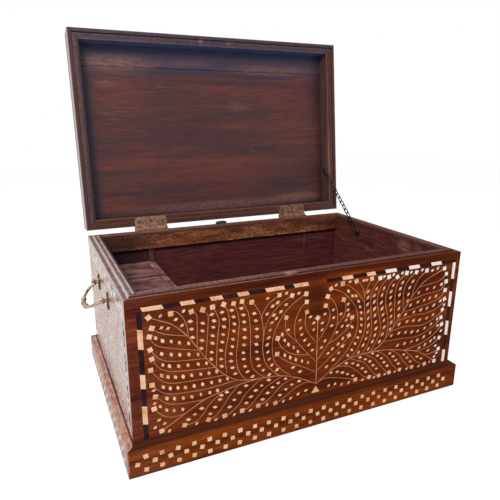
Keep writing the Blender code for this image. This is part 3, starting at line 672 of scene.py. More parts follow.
# inlay is drawn flat in millimetres, from a panel's top left corner, then raised and laid on its panel
inlay = {"veinWide": 0.62, "stemWide": 0.85, "centreWide": 1.02, "sunk": 0.4, "veinProud": 0.16,
         "stemProud": 0.20, "tileProud": 0.22, "bead": 3.0, "seam": 0.15,
         "square": 7.5, "squareSizes": (0.92, 1.06), "squareTurn": 0.5, "endTurn": 0.6, "headTurn": 0.7,
         "squareRoom": 9.0, "triangle": (18.5, 15.4),
         "diamond": (8.4, 5.3), "diamondSizes": (0.88, 1.1), "diamondTurn": 0.15, "diamondStray": 0.6,
         "room": 7.0, "veinRoom": 3.36, "rowEnds": 6.0, "rowTail": 0.7, "rowSteps": 40, "narrowest": 8.5,
         "speck": (7.56, 4.77), "speckTurn": (-0.9, -0.3)}


def smoothLine(points):
    spots = [Vector(point) for point in points]
    line = [spots[0]]
    for i in range(len(spots) - 1):
        before, start, end = spots[max(i - 1, 0)], spots[i], spots[i + 1]
        after = spots[min(i + 2, len(spots) - 1)]
        steps = max(1, round((end - start).length / inlay["bead"]))
        for k in range(1, steps + 1):
            t = k / steps
            line.append(0.5 * (2 * start + (end - before) * t
                               + (2 * before - 5 * start + 4 * end - after) * t * t
                               + (3 * start - before - 3 * end + after) * t ** 3))
    return line


def layRibbon(bm, line, wide):
    pair = None
    for i, spot in enumerate(line):
        ahead = line[min(i + 1, len(line) - 1)] - line[max(i - 1, 0)]
        side = Vector((-ahead.y, ahead.x)).normalized() * wide / 2
        ends = [(spot + side).to_3d(), (spot - side).to_3d()]
        if pair is None:
            pair = [bm.verts.new(end) for end in ends]
            edge = bm.edges.new(pair)
            continue
        grown = bmesh.ops.extrude_edge_only(bm, edges=[edge])["geom"]
        fresh = vertsOf(grown)
        edge = edgesOf(grown)[0]
        pair = [min(fresh, key=lambda vert: (vert.co - old.co).length) for old in pair]
        for vert, end in zip(pair, ends):
            vert.co = end


def layTile(bm, spot, long, short, turn, corners=4):
    # a tile with its points on the long and short axes
    place = (Matrix.Translation(Vector(spot).to_3d()) @ Matrix.Rotation(turn, 4, "Z")
             @ Matrix.Diagonal((long / 2, short / 2, 1, 1)))
    bmesh.ops.create_circle(bm, cap_ends=True, segments=corners, radius=1.0, matrix=place)


def laySquare(bm, spot, size, turn):
    layTile(bm, spot, size * 2 ** 0.5, size * 2 ** 0.5, turn + pi / 4)


def layStrip(bm, start, end, band, upright):
    # one piece of a border band, its ends cut on a slant
    tall, middle = band["high"] - band["low"], (band["low"] + band["high"]) / 2
    made = bmesh.ops.create_grid(bm, x_segments=1, y_segments=1, size=0.5)["verts"]
    bmesh.ops.scale(bm, vec=(end - start, tall, 1), verts=made)
    bmesh.ops.translate(bm, vec=((start + end) / 2, middle, 0), verts=made)
    for vert in made:
        vert.co.x += band["slant"] * (vert.co.y - middle) / tall
    if upright:
        swapAxes = Matrix(((0, 1, 0, 0), (1, 0, 0, 0), (0, 0, 1, 0), (0, 0, 0, 1)))
        bmesh.ops.transform(bm, matrix=swapAxes, verts=made)


def raiseInlay(name, bm, proud, panel, finish, body="carcass"):
    # closes the flat drawing into thin solids and lays it on its panel
    bmesh.ops.translate(bm, vec=(0, 0, -inlay["sunk"]), verts=bm.verts)
    grown = bmesh.ops.extrude_face_region(bm, geom=bm.faces[:], use_keep_orig=True)["geom"]
    bmesh.ops.translate(bm, vec=(0, 0, inlay["sunk"] + proud), verts=vertsOf(grown))
    bmesh.ops.transform(bm, matrix=panel, verts=bm.verts)
    bmesh.ops.recalc_face_normals(bm, faces=bm.faces)
    keepPiece(name, bm, finish, body)


def panelFrame(corner, right, down):
    right, down = Vector(right), Vector(down)
    turn = Matrix((right, down, down.cross(right))).transposed().to_4x4()
    return Matrix.Translation(corner) @ turn @ Matrix.Diagonal((mm, mm, mm, 1))


# the vine on the front: each vein runs from its bone square to the stem, in x along and drop below the rim
leftSpray = {
    # tilt of a group's diamonds, how far it turns with the row, slimness, gap between diamonds
    "lean": {"side": (1.19, 0, 0.95, 12.0), "top": (0.45, 1, 1.0, 12.0), "foot": (0.15, 0, 1.0, 12.0),
             "heart": (1.3, 0, 1.0, 12.0), "twig": (-0.5, 0, 1.0, 12.0), "base": (-0.15, 0, 1.0, 12.0)},
    "stem": ((309.6, 199), (290, 188), (270, 177.6), (240, 167.6), (210, 164), (185, 162), (164, 156.6),
             (144, 143), (128, 126), (114, 108), (100, 87), (86, 66), (66, 46), (48, 36.5), (32, 29)),
    "branch": ((200, 163.6), (170, 165.5), (140, 171), (112, 177), (80, 193), (42.6, 213)),
    "side": (
        ((36, 45.6), (44, 53), (60, 60), (86, 67)), ((32, 58), (40, 72), (60, 81), (102, 93)),
        ((32, 78), (45, 95), (66, 103), (114, 109)), ((33.6, 92.6), (46, 111), (70, 120), (128, 127)),
        ((31, 109.6), (46, 130), (64, 138), (100, 141.5), (144, 143.5)),
        ((32, 133.6), (46, 149), (66, 156), (112, 160), (164, 157)),
        ((36, 153.6), (50, 167), (68, 174), (112, 177.6)), ((33, 173), (46, 188), (60, 194), (79, 193.4))),
    "top": (
        ((63.6, 28.6), (70, 26), (80, 36), (86, 50), (88, 67)), ((94, 30.6), (101, 36), (102, 48), (101, 87)),
        ((111, 30.6), (117, 38), (119, 48), (114, 108)),
        ((126, 29), (132, 40), (136, 54), (133, 80), (130, 127)),
        ((143.4, 27.6), (149, 38), (152.4, 56), (150, 80), (144.6, 112), (147, 141)),
        ((159, 28.6), (164, 40), (168, 60), (166, 88), (163, 120), (168, 144), (180, 161)),
        ((172.6, 27.6), (178, 38), (184, 52), (187, 86), (187, 120), (192, 144), (212, 164)),
        ((188.6, 31.4), (196, 40), (204, 56), (209, 84), (208, 116), (216, 144), (239, 167.4)),
        ((283.6, 32.6), (272, 38), (250, 54), (234, 76), (225, 100), (226, 128), (234, 148), (260, 172.6))),
    "twig": (
        ((235.6, 27.4), (218, 38), (207, 54), (206, 62)),
        ((258, 31.4), (240, 41), (222, 58), (212, 76), (209.5, 90))),
    "foot": (
        ((77.6, 213), (92, 213), (106, 204), (118, 188), (140, 171)),
        ((116, 214.4), (126, 212), (140, 198), (150, 183), (166, 168)),
        ((143, 215), (152, 213), (168, 200), (180, 184), (206, 164.6)),
        ((172.6, 214), (182, 212), (198, 198), (214, 182), (244, 169)),
        ((201, 212.4), (212, 210), (228, 199), (246, 184), (270, 177.6)),
        ((232, 215.6), (242, 213), (262, 201), (282, 192.5), (298, 192.5))),
    "heart": (
        ((286, 64), (284, 72), (284, 88), (292, 104), (306, 121.5)),
        ((285, 46.6), (276, 54), (267, 70), (264, 86), (266, 104), (271, 116)),
        ((248.6, 67), (247.6, 74), (248, 88), (256, 100), (270, 114), (288, 136), (305.6, 155.4)),
        ((234, 100), (236, 108), (243, 119), (256, 130), (270, 136), (290, 140.6)),
        ((233.6, 127.4), (240, 135), (256, 147), (280, 160), (307, 176))),
    "specks": (
        (34, 142.6), (34.4, 164), (39.4, 193.4), (33, 204.4), (47.4, 201.4), (54, 216), (97, 215.6),
        (128, 217.6), (159, 217.6), (187, 217), (216.6, 215), (247, 216.4), (260.6, 214.4), (274.6, 210),
        (289.6, 207), (49, 29.4), (82.4, 27.6), (215.4, 29.6), (248, 26), (270, 29.4), (49.6, 47.4), (59, 50),
        (70.7, 38.4), (79.6, 49.3), (299.6, 85.5), (300, 97.5), (293, 73.8), (278, 102), (284, 113),
        (292, 123), (299, 134), (273.7, 76.4), (275.4, 90.4)),
}
# the right half is nearly the left one turned over, so its x runs from the right end
rightSpray = {
    "lean": {"side": (-0.74, 0, 1.05, 14.5), "top": (-0.89, 0, 1.1, 12.0), "foot": (0.15, 0, 1.0, 12.0),
             "heart": (-0.9, 0, 1.05, 12.0), "twig": (0.75, 0, 1.0, 12.0), "base": (-0.5, 0, 1.0, 12.0)},
    "stem": ((300, 199), (280, 185), (261, 176), (235, 166.4), (209, 163.4), (191, 162.4), (177, 158),
             (163, 147), (143, 124), (125, 98), (109, 75), (91, 55), (75, 43), (55, 35.6), (36, 28)),
    "branch": ((205, 163.4), (171, 164.4), (145, 168), (115, 175.6), (89, 182), (71, 190), (36, 214.4)),
    "side": (
        ((30, 39), (36, 45), (49, 51), (65, 53), (92, 56)),
        ((28.4, 54), (39, 68), (57, 71), (75, 71.6), (111, 79)),
        ((28.4, 71), (39, 83), (65, 91), (85, 94), (121, 98.6)),
        ((27.6, 88.6), (31, 96), (49, 106), (75, 110), (99, 109), (133, 113)),
        ((29.6, 109.6), (35, 116), (51, 125), (75, 132), (99, 130), (119, 128), (147, 131)),
        ((31, 125), (36, 131), (49, 140), (75, 151), (99, 153), (125, 150), (163, 149)),
        ((27.4, 139.6), (31, 145), (45, 157), (69, 168), (89, 173), (115, 175.6)),
        ((30, 166.6), (34, 170), (47, 178), (67, 183), (89, 182)),
        ((28.4, 190), (41, 195), (55, 196), (73, 191))),
    "top": (
        ((78, 26.4), (86, 32), (97, 42), (103, 54), (108, 73)),
        ((102, 26.4), (110, 31), (121, 42), (127, 58), (126, 80), (124, 97)),
        ((124, 25), (133, 31), (141, 40), (146, 56), (145, 80), (142.6, 112), (144, 124)),
        ((144, 29.6), (152, 34), (161, 44), (166, 62), (164, 82), (158, 104), (156, 126), (160, 144)),
        ((162.6, 27), (169, 32), (179, 44), (184, 60), (183, 76), (177, 98), (172.6, 118), (175, 136),
         (191, 162)),
        ((181.4, 26.4), (187, 33), (195, 44), (198.4, 58), (196, 84), (193, 106), (192, 124), (197, 144),
         (209, 163)),
        ((230.4, 25), (222, 31), (214, 45), (211, 65), (209, 85), (206, 105), (207, 122), (213, 138),
         (221, 154), (235, 166)),
        ((280, 31), (255, 42), (231, 68), (223, 90), (223, 114), (231, 134), (249, 158), (275, 180))),
    "twig": (
        ((199, 25), (203, 32), (208, 42), (212, 55)),
        ((257.6, 25.6), (249, 29), (235, 38), (221, 52), (212, 65))),
    "foot": (
        ((59.6, 215.4), (68, 214), (83, 204), (97, 190), (113, 176)),
        ((90.6, 215), (99, 212), (113, 198), (127, 180), (149, 167)),
        ((119.6, 214), (128, 210), (143, 194), (155, 178), (178, 163)),
        ((144, 214), (152, 210), (167, 194), (179, 180), (203, 164)),
        ((167.6, 215), (176, 211), (191, 194), (203, 181), (233, 167)),
        ((189, 213), (198, 210.6), (209, 202), (227, 186), (241, 179), (261, 176)),
        ((219.4, 210.6), (227, 207.6), (241, 203), (265, 196), (285, 193), (296, 196))),
    "heart": (
        ((288.6, 59), (284, 63), (279.4, 76), (282, 90), (289, 104), (300, 119)),
        ((285.6, 43.4), (279, 48), (272, 56), (266, 70), (264, 88), (264.6, 98)),
        ((254, 54), (250, 61), (249, 72), (253, 86), (264, 98), (273, 118), (281, 130), (300, 155)),
        ((234.6, 89.4), (236, 99), (247, 111), (262, 121), (279, 129)),
        ((239, 121.6), (244, 128), (263, 146), (285, 162), (300, 174))),
    "specks": (
        (270.6, 26), (243.4, 24.4), (215.6, 26), (209.6, 26), (173, 25), (153, 24), (134, 23.6), (114, 25),
        (89, 24), (65, 28), (52.4, 25.4), (27, 100.4), (37, 140.6), (27, 153), (42, 165), (37, 182),
        (32, 198), (37, 205), (275, 209), (262, 209), (248, 213), (233.4, 213.4), (203.6, 215), (178, 216),
        (153.6, 215.6), (131, 215.6), (103, 216), (74, 217.4), (48, 214), (293.7, 88.6), (293.8, 101),
        (289.6, 73.5), (287, 122), (293.5, 133), (279.6, 146.7), (273.5, 69), (258, 79), (272, 83),
        (275, 97), (246.5, 92), (254, 101.7), (264, 111), (244, 74), (244.4, 63.3)),
}


def alongLine(line, share):
    spot = share * (len(line) - 1)
    i = min(int(spot), len(line) - 2)
    return line[i].lerp(line[i + 1], spot - i), (line[i + 1] - line[i]).normalized()


def crowded(spot, laid, lines):
    if any((spot - other).length < room for other, room in laid):
        return True
    return any((spot - bead).length < inlay["veinRoom"] for line in lines for bead in line)


def layDiamonds(bm, first, second, lean, laid, lines):
    # a row of bone diamonds midway between two veins
    tilt, follow, stretch, gap = lean
    shares = [k / inlay["rowSteps"] for k in range(inlay["rowSteps"] + 1)]
    middle = [(alongLine(first, share)[0] + alongLine(second, share)[0]) / 2 for share in shares]
    length = sum((b - a).length for a, b in zip(middle, middle[1:]))
    count = int((length - inlay["rowEnds"]) / gap)
    long, short = inlay["diamond"]
    stray = inlay["diamondStray"]
    for k in range(count):
        share = (k + 1) / (count + inlay["rowTail"])
        spot, way = alongLine(middle, share)
        wide = (alongLine(first, share)[0] - alongLine(second, share)[0]).length
        turn = tilt + follow * (atan2(way.x, -way.y) - pi)
        turn += rng.uniform(-inlay["diamondTurn"], inlay["diamondTurn"])
        size = rng.uniform(*inlay["diamondSizes"])
        spot = spot + Vector((rng.uniform(-stray, stray), rng.uniform(-stray, stray)))
        if wide < inlay["narrowest"] or crowded(spot, laid, lines):
            continue
        laid.append((spot, inlay["room"]))
        layTile(bm, spot, long * size * stretch, short * size / stretch, turn)


def laySpray(sketch, spray, fit, laid):
    # one half of the vine, with fit taking its points to the panel
    def fitted(points):
        return smoothLine([fit(point) for point in points])

    tiles, square = sketch["Tiles"], inlay["square"]
    stem, branch = fitted(spray["stem"]), fitted(spray["branch"])
    layRibbon(sketch["Stems"], stem, inlay["stemWide"])
    layRibbon(sketch["Stems"], branch, inlay["stemWide"])
    groups = ("side", "top", "twig", "foot", "heart")
    side, top, twig, foot, heart = ([fitted(vein) for vein in spray[group]] for group in groups)
    lines = side + top + twig + foot + heart
    for line in lines:
        layRibbon(sketch["Veins"], line, inlay["veinWide"])
        size = square * rng.uniform(*inlay["squareSizes"])
        laySquare(tiles, line[0], size, rng.uniform(-inlay["squareTurn"], inlay["squareTurn"]))
    lines += [stem, branch]
    for line in (stem, branch):
        laySquare(tiles, line[-1], square, rng.uniform(-inlay["endTurn"], inlay["endTurn"]))
    laid += [(spot, inlay["squareRoom"]) for spot in [line[0] for line in lines] + [stem[-1], branch[-1]]]
    for speck in spray["specks"]:
        spot = Vector(fit(speck))
        laid.append((spot, inlay["room"]))
        layTile(tiles, spot, *inlay["speck"], rng.uniform(*inlay["speckTurn"]))
    pairs = [(group, *pair) for group, row in (("side", side), ("top", top[:-1]), ("foot", foot))
             for pair in zip(row, row[1:])]
    pairs += [("heart", heart[2], heart[3]), ("heart", heart[3], heart[4]), ("twig", twig[0], twig[1]),
              ("twig", top[-2], top[-1]), ("base", heart[4], top[-1]), ("twig", twig[1], top[-1]),
              ("foot", branch[::-1], foot[0])]
    for group, first, second in pairs:
        layDiamonds(tiles, first, second, spray["lean"][group], laid, lines)


# border of bone and ebony on the front: bone stretches of each band, ebony between them, one stretch bare
frontBorder = {
    "top": {"from": 23, "to": 600, "low": 12.8, "high": 19.2, "slant": 3, "bare": {287: 321},
            "bone": ((23, 53), (78, 99), (123, 142), (166, 184), (212, 244), (261, 287), (351, 372),
                     (400, 418), (439, 463), (490, 514), (541, 565))},
    "left": {"from": 19, "to": 223, "low": 15.6, "high": 23, "slant": 2,
             "bone": ((45, 75), (114, 137), (165, 195))},
    "right": {"from": 17, "to": 223, "low": 593, "high": 600, "slant": 2,
              "bone": ((17, 51), (76, 106), (135, 164), (195, 223))},
}
evenBorder = {"step": 25.0, "band": 6.4, "edge": 14.0, "topSlant": 3, "sideSlant": 2}


def plainBorder(wide, tall):
    # the same border for the ends and the lid, in even steps
    def evenBand(start, end, low, slant):
        count = 2 * round((end - start) / evenBorder["step"] / 2) + 1
        part = (end - start) / count
        stretches = [(start + part * k, start + part * (k + 1)) for k in range(0, count, 2)]
        return {"from": start, "to": end, "low": low, "high": low + band, "slant": slant, "bone": stretches}

    band, edge = evenBorder["band"], evenBorder["edge"]
    under = edge + band + 1
    return {"top": evenBand(edge, wide - edge, edge - 1, evenBorder["topSlant"]),
            "left": evenBand(under, tall, edge, evenBorder["sideSlant"]),
            "right": evenBand(under, tall, wide - edge - band, evenBorder["sideSlant"])}


def layBorder(tiles, ebony, border):
    for name, band in border.items():
        strips = []
        last = band["from"]
        for start, end in band["bone"]:
            last = band.get("bare", {}).get(last, last)
            strips += [(ebony, last, start), (tiles, start, end)]
            last = end
        strips.append((ebony, last, band["to"]))
        for bm, start, end in strips:
            if end > start:
                layStrip(bm, start + inlay["seam"], end - inlay["seam"], band, name != "top")


# the ends and the lid carry the front's vine, narrower on the ends and deeper on the lid
vineWide, lidDeeper = 610.0, 1.68
frontBone = ("boneTile", "boneVein", "ebony")
endBone = ("endBoneTile", "endBoneVein", "endEbony")
plainBone = ("plainBoneTile", "plainBoneVein", "plainEbony")
endPanel = {"wide": 396.0, "deeper": 1.0, "border": plainBorder(396.0, 223.0),
            "stem": ((198, 199), (198, 84)), "base": (198, 211.2), "body": "carcass"}
panels = {
    "front": {"frame": panelFrame((-halfLength, -halfDepth, chest["rim"]), (1, 0, 0), (0, 0, -1)),
              "wide": vineWide, "deeper": 1.0, "border": frontBorder, "stem": ((309, 199), (307, 78)),
              "base": (308.5, 211.2), "body": "carcass", "bone": frontBone},
    "leftSide": dict(endPanel, bone=endBone, frame=panelFrame((-halfLength, halfDepth, chest["rim"]),
                                                              (0, -1, 0), (0, 0, -1))),
    "rightSide": dict(endPanel, bone=plainBone, frame=panelFrame((halfLength, -halfDepth, chest["rim"]),
                                                                 (0, 1, 0), (0, 0, -1))),
    "lidTop": {"frame": openLid @ panelFrame((-halfLength, halfDepth, chest["lidTop"]),
                                             (1, 0, 0), (0, -1, 0)),
               "wide": vineWide, "deeper": lidDeeper, "border": plainBorder(vineWide, 382.0),
               "stem": ((309, 199 * lidDeeper), (307, 78 * lidDeeper)), "base": (308.5, 354), "body": "lid",
               "bone": plainBone},
}
for name, panel in panels.items():
    sketch = {part: bmesh.new() for part in ("Tiles", "Veins", "Stems", "Ebony")}
    wide, deeper = panel["wide"], panel["deeper"]
    narrow = wide / vineWide
    laid = []
    laySpray(sketch, leftSpray, lambda p: (p[0] * narrow, p[1] * deeper), laid)
    laySpray(sketch, rightSpray, lambda p: (wide - p[0] * narrow, p[1] * deeper), laid)
    layRibbon(sketch["Stems"], smoothLine(panel["stem"]), inlay["centreWide"])
    laySquare(sketch["Tiles"], panel["stem"][1], inlay["square"], inlay["headTurn"])
    layTile(sketch["Tiles"], panel["base"], *inlay["triangle"], pi, 3)
    layBorder(sketch["Tiles"], sketch["Ebony"], panel["border"])
    tileBone, veinBone, darkWood = (bone[finish] for finish in panel["bone"])
    for part, proud, finish in (("Tiles", "tileProud", tileBone), ("Veins", "veinProud", veinBone),
                                ("Stems", "stemProud", veinBone), ("Ebony", "tileProud", darkWood)):
        raiseInlay(name + part, sketch[part], inlay[proud], panel["frame"], finish, panel["body"])
    print(name, "inlay laid")

# old glue and dirt fill the joint between the lid's planks
joint = {"y": -0.135, "half": 0.3035, "wide": 0.5 * mm, "low": 1.2 * mm, "high": 0.5 * mm, "ease": 0.1 * mm}
bm = bmesh.new()
bmesh.ops.create_cube(bm, size=1.0)
tall = chest["lidTop"] - chest["lidFloor"] - joint["low"] - joint["high"]
bmesh.ops.scale(bm, vec=(2 * joint["half"], joint["wide"], tall), verts=bm.verts)
bmesh.ops.translate(bm, vec=(0, joint["y"], chest["lidFloor"] + joint["low"] + tall / 2), verts=bm.verts)
bmesh.ops.bevel(bm, geom=bm.edges[:], offset=joint["ease"], affect="EDGES", segments=1, profile=0.5,
                material=-1)
bmesh.ops.transform(bm, matrix=openLid, verts=bm.verts)
keepPiece("lidJointFilling", bm, bone["plainEbony"], "lid")

# plinth: three rows of small bone squares, a little early in the middle of a board
plinthRows = {"size": 7.0, "sizes": (0.94, 1.06), "step": 25.56, "tilt": 0.22, "margin": 19, "early": 4.5,
              "earlyRun": 0.62, "strayX": 0.8, "strayY": 0.6,
              "rows": ((32.5, 26.8), (22.8, 14.4), (11.2, 26.8))}
plinthFaces = {
    "plinthFront": ((-1, -1), (1, 0, 0), 2 * halfLength, "plainBoneTile"),
    "plinthLeft": ((-1, 1), (0, -1, 0), 2 * halfDepth, "endBoneTile"),
    "plinthRight": ((1, -1), (0, 1, 0), 2 * halfDepth, "plainBoneTile"),
}
strayX, strayY, tilt = plinthRows["strayX"], plinthRows["strayY"], plinthRows["tilt"]
for name, ((signX, signY), right, run, finish) in plinthFaces.items():
    tiles = bmesh.new()
    corner = (signX * (halfLength + chest["plinthOut"]), signY * (halfDepth + chest["plinthOut"]), 0)
    length = (run + 2 * chest["plinthOut"]) / mm
    for level, first in plinthRows["rows"]:
        spot = first
        while spot < length - plinthRows["margin"]:
            early = plinthRows["early"] * sin(pi * min(spot / length / plinthRows["earlyRun"], 1))
            place = (spot - early + rng.uniform(-strayX, strayX), -level + rng.uniform(-strayY, strayY))
            size = plinthRows["size"] * rng.uniform(*plinthRows["sizes"])
            laySquare(tiles, place, size, rng.uniform(-tilt, tilt))
            spot += plinthRows["step"]
    face = panelFrame(corner, right, (0, 0, -1))
    raiseInlay(name + "Squares", tiles, inlay["tileProud"], face, bone[finish])
print("plinth squares laid")


# stay chain: round wire links, every second one edge on
chain = {"wire": 1.15 * mm, "halfGap": 2.6 * mm, "inner": 11.759 * mm, "bite": 0.15 * mm, "plane": 0.275,
         "boxEnd": (0.0735, 0.252), "lidEnd": (0.22264, 0.380172), "sides": 10, "arcSteps": 9,
         "merge": 0.02 * mm, "boxLinks": 9, "lidLinks": 8}


def roundLink(place):
    bm = bmesh.new()
    straight, bend = chain["inner"] / 2 - chain["halfGap"], chain["halfGap"] + chain["wire"]
    start = Matrix.Translation((straight, -bend, 0)) @ Matrix.Rotation(pi / 2, 4, "Y")
    ring = bmesh.ops.create_circle(bm, segments=chain["sides"], radius=chain["wire"], matrix=start)["verts"]
    edges = ringEdges(ring)
    for side in (1, -1):
        bent = bmesh.ops.spin(bm, geom=edges, cent=(side * straight, 0, 0), axis=(0, 0, 1), angle=pi,
                              steps=chain["arcSteps"])["geom_last"]
        grown = bmesh.ops.extrude_edge_only(bm, edges=edgesOf(bent))["geom"]
        tips = vertsOf(grown)
        bmesh.ops.translate(bm, vec=(-side * 2 * straight, 0, 0), verts=tips)
        edges = [edge for edge in edgesOf(grown) if all(vert in tips for vert in edge.verts)]
    weld(bm, chain["merge"])
    bmesh.ops.transform(bm, matrix=place, verts=bm.verts)
    return bm


def chainRun(name, node, body, count, base, way):
    sideways = Vector((1, 0, 0))
    across = sideways.cross(way)
    whole = bmesh.new()
    for k in range(count):
        flat, normal = (across, sideways) if k % 2 == 0 else (sideways, -across)
        place = Matrix((way, flat, normal)).transposed().to_4x4()
        place.translation = base + way * (chain["inner"] / 2 - chain["halfGap"]
                                          + k * (chain["inner"] + chain["bite"]))
        addTo(whole, roundLink(place))
    piece = keepPiece(name, whole, metal["chainIron"], body, smooth=True)
    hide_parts(node)


boxEnd = Vector((chain["plane"], *chain["boxEnd"]))
lidEnd = Vector((chain["plane"], *chain["lidEnd"]))
upward = (lidEnd - boxEnd).normalized()
chainRun("lowerChain", "chain_lower_run", "chain_lower", chain["boxLinks"], boxEnd, upward)
chainRun("upperChain", "chain_upper_run", "chain_upper", chain["lidLinks"], lidEnd, -upward)
print("chain linked")


# handles: a turned bail with two collars, in eyes on shaped plates
handle = {"y": 0.010, "z": 0.218, "halfSpan": 51 * mm, "axisOut": 9.5 * mm, "reach": 31 * mm, "bend": 4 * mm,
          "pintle": 2.3 * mm, "arm": 2.5 * mm, "grip": 4.3 * mm, "gripHalf": 17 * mm, "collar": 4.9 * mm,
          "collarHalf": 2.2 * mm, "beadOff": 3.6 * mm, "beadShare": 0.55, "eyeWide": 5 * mm,
          "eyeGap": 0.6 * mm, "overrun": 1 * mm, "shoulder": 0.2 * mm, "knob": 3.0 * mm, "knobOut": 0.8,
          "tip": 0.3 * mm, "neck": 0.35, "droop": radians(37.6), "knobSteps": 10, "bendSteps": 8,
          "armSteps": 90, "roundness": 5, "merge": 0.01 * mm, "sharp": radians(50)}


def bailRadius(y):
    size = handle["arm"]
    if y < handle["gripHalf"]:
        swell = handle["neck"] + (1 - handle["neck"]) * cos(pi / 2 * y / handle["gripHalf"])
        size += (handle["grip"] - handle["arm"]) * swell
    off, low = handle["beadOff"], handle["beadShare"]
    for offset, share in ((0.0, 1.0), (off, low), (-off, low)):
        # a tall bead with a lower one on each side
        part = (y - handle["gripHalf"] - offset) / (handle["collarHalf"] * share)
        if abs(part) < 1:
            swell = (handle["collar"] - handle["arm"]) * share
            size = max(size, handle["arm"] + swell * (1 - part * part) ** 0.5)
    return size


def bailPath():
    bend, knob = handle["bend"], handle["knob"]
    armY = handle["halfSpan"] - handle["eyeWide"] / 2 - handle["eyeGap"] - bend
    end = handle["halfSpan"] + handle["eyeWide"] / 2 + handle["overrun"]
    half = []
    for k in range(handle["knobSteps"] - 1):
        # the knob on the pintle's end
        turn = pi * k / handle["knobSteps"]
        half.append((end + knob * (handle["knobOut"] + cos(turn)), 0.0, max(knob * sin(turn), handle["tip"])))
    half += [(y, 0.0, handle["pintle"]) for y in (end, armY + bend + handle["shoulder"])]
    for k in range(1, handle["bendSteps"] + 1):
        turn = pi / 2 * k / handle["bendSteps"]
        half.append((armY + bend * (1 - sin(turn)), bend * (1 - cos(turn)), handle["arm"]))
    for k in range(1, handle["armSteps"] + 1):
        turn = pi / 2 * k / handle["armSteps"]
        y = armY * cos(turn)
        half.append((y, bend + (handle["reach"] - bend) * sin(turn), bailRadius(y)))
    return half + [(-y, out, size) for y, out, size in reversed(half[:-1])]


def makeBail(side, sign):
    curve = bpy.data.curves.new("bailLine", "CURVE")
    curve.dimensions = "3D"
    curve.bevel_depth = mm
    curve.bevel_resolution = handle["roundness"]
    curve.use_fill_caps = True
    path = bailPath()
    spline = curve.splines.new("POLY")
    spline.points.add(len(path) - 1)
    pivot = Vector((sign * (halfLength + handle["axisOut"]), handle["y"], handle["z"]))
    for point, (y, out, size) in zip(spline.points, path):
        spot = pivot + Vector((sign * out * cos(handle["droop"]), y, -out * sin(handle["droop"])))
        point.co = (*spot, 1)
        point.radius = size / mm
    guide = bpy.data.objects.new("bailLine", curve)
    scene.collection.objects.link(guide)
    graph = bpy.context.evaluated_depsgraph_get()
    mesh = bpy.data.meshes.new_from_object(guide.evaluated_get(graph))
    bpy.data.objects.remove(guide, do_unlink=True)
    bm = bmesh.new()
    bm.from_mesh(mesh)
    bpy.data.meshes.remove(mesh)
    weld(bm, handle["merge"])
    piece = keepPiece(side + "TurnedBail", bm, metal["handleBrass"], side + "_bail", smooth=True)
    piece.data.set_sharp_from_angle(angle=handle["sharp"])
    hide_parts(side + "_handle_bail")


# the plate's outline and rivets are in millimetres from the bail's axis
plate = {"outline": ((-8, -12), (-5, -15), (5, -15), (8, -12), (8, 6), (0, 15), (-8, 6)), "thick": 1.5 * mm,
         "gap": 0.3 * mm, "ease": 0.4 * mm, "post": 3.2 * mm, "postSides": 18, "sunk": 1.2 * mm,
         "ring": 3.9 * mm, "wire": 1.25 * mm, "wireSides": 14, "widen": 1.9, "ringSteps": 28,
         "rivet": 1.7 * mm, "rivetSides": (14, 8), "flatten": 0.6, "rivets": (-10.0, 9.0),
         "sharp": radians(35)}


def paleBrass(faces):
    # the eye and its post wear the bail's brass
    for face in faces:
        face.material_index = 1


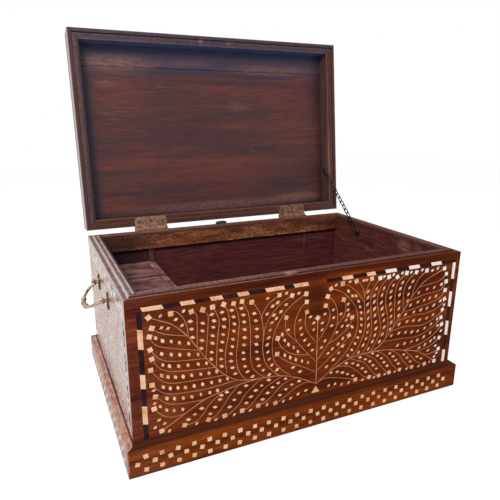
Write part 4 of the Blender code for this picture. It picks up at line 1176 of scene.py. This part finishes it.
def plateEye(axis, y):
    # a ring spun about the bail's pintle
    eye = bmesh.new()
    centre = (axis, y, handle["z"])
    start = (Matrix.Translation((axis + plate["ring"], y, handle["z"]))
             @ Matrix.Diagonal((1, plate["widen"], 1, 1)))
    loop = bmesh.ops.create_circle(eye, segments=plate["wireSides"], radius=plate["wire"], matrix=start)
    bmesh.ops.spin(eye, geom=ringEdges(loop["verts"]), cent=centre, axis=(0, 1, 0), angle=2 * pi,
                   steps=plate["ringSteps"], use_merge=True)
    weld(eye, handle["merge"])
    paleBrass(eye.faces)
    return eye


def makePlate(name, node, sign, y):
    back = sign * (halfLength + plate["gap"])
    axis = sign * (halfLength + handle["axisOut"])
    bm = bmesh.new()
    corners = [(back, y + a * mm, handle["z"] + b * mm) for a, b in plate["outline"]]
    sheet = bm.faces.new([bm.verts.new(corner) for corner in corners])
    tops = vertsOf(bmesh.ops.extrude_face_region(bm, geom=[sheet], use_keep_orig=True)["geom"])
    bmesh.ops.translate(bm, vec=(sign * plate["thick"], 0, 0), verts=tops)
    arris = [edge for edge in bm.edges if any(vert in tops for vert in edge.verts)]
    bmesh.ops.bevel(bm, geom=arris, offset=plate["ease"], affect="EDGES", segments=2, profile=0.5,
                    material=-1)
    around, over = plate["rivetSides"]
    for drop in plate["rivets"]:
        place = (Matrix.Translation((back + sign * plate["thick"], y, handle["z"] + drop * mm))
                 @ Matrix.Diagonal((plate["flatten"], 1, 1, 1)))
        bmesh.ops.create_uvsphere(bm, u_segments=around, v_segments=over, radius=plate["rivet"],
                                  matrix=place)
    middle = (back + axis - sign * plate["ring"]) / 2
    stem = Matrix.Translation((middle, y, handle["z"])) @ Matrix.Rotation(pi / 2, 4, "Y")
    depth = abs(axis - back) - plate["ring"] + plate["sunk"]
    post = bmesh.ops.create_cone(bm, cap_ends=True, segments=plate["postSides"], radius1=plate["post"],
                                 radius2=plate["post"], depth=depth, matrix=stem)["verts"]
    paleBrass({face for vert in post for face in vert.link_faces})
    bmesh.ops.recalc_face_normals(bm, faces=bm.faces)
    addTo(bm, plateEye(axis, y))
    piece = keepPiece(name, bm, metal["plateBrass"], "carcass", smooth=True)
    piece.data.materials.append(metal["handleBrass"])
    piece.data.set_sharp_from_angle(angle=plate["sharp"])
    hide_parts(node)


for side, sign in (("left", -1), ("right", 1)):
    makeBail(side, sign)
    for place, step in (("Front", -1), ("Back", 1)):
        node = side + "_handle_" + place.lower() + "_plate"
        makePlate(side + place + "Plate", node, sign, handle["y"] + step * handle["halfSpan"])
print("handles hung")
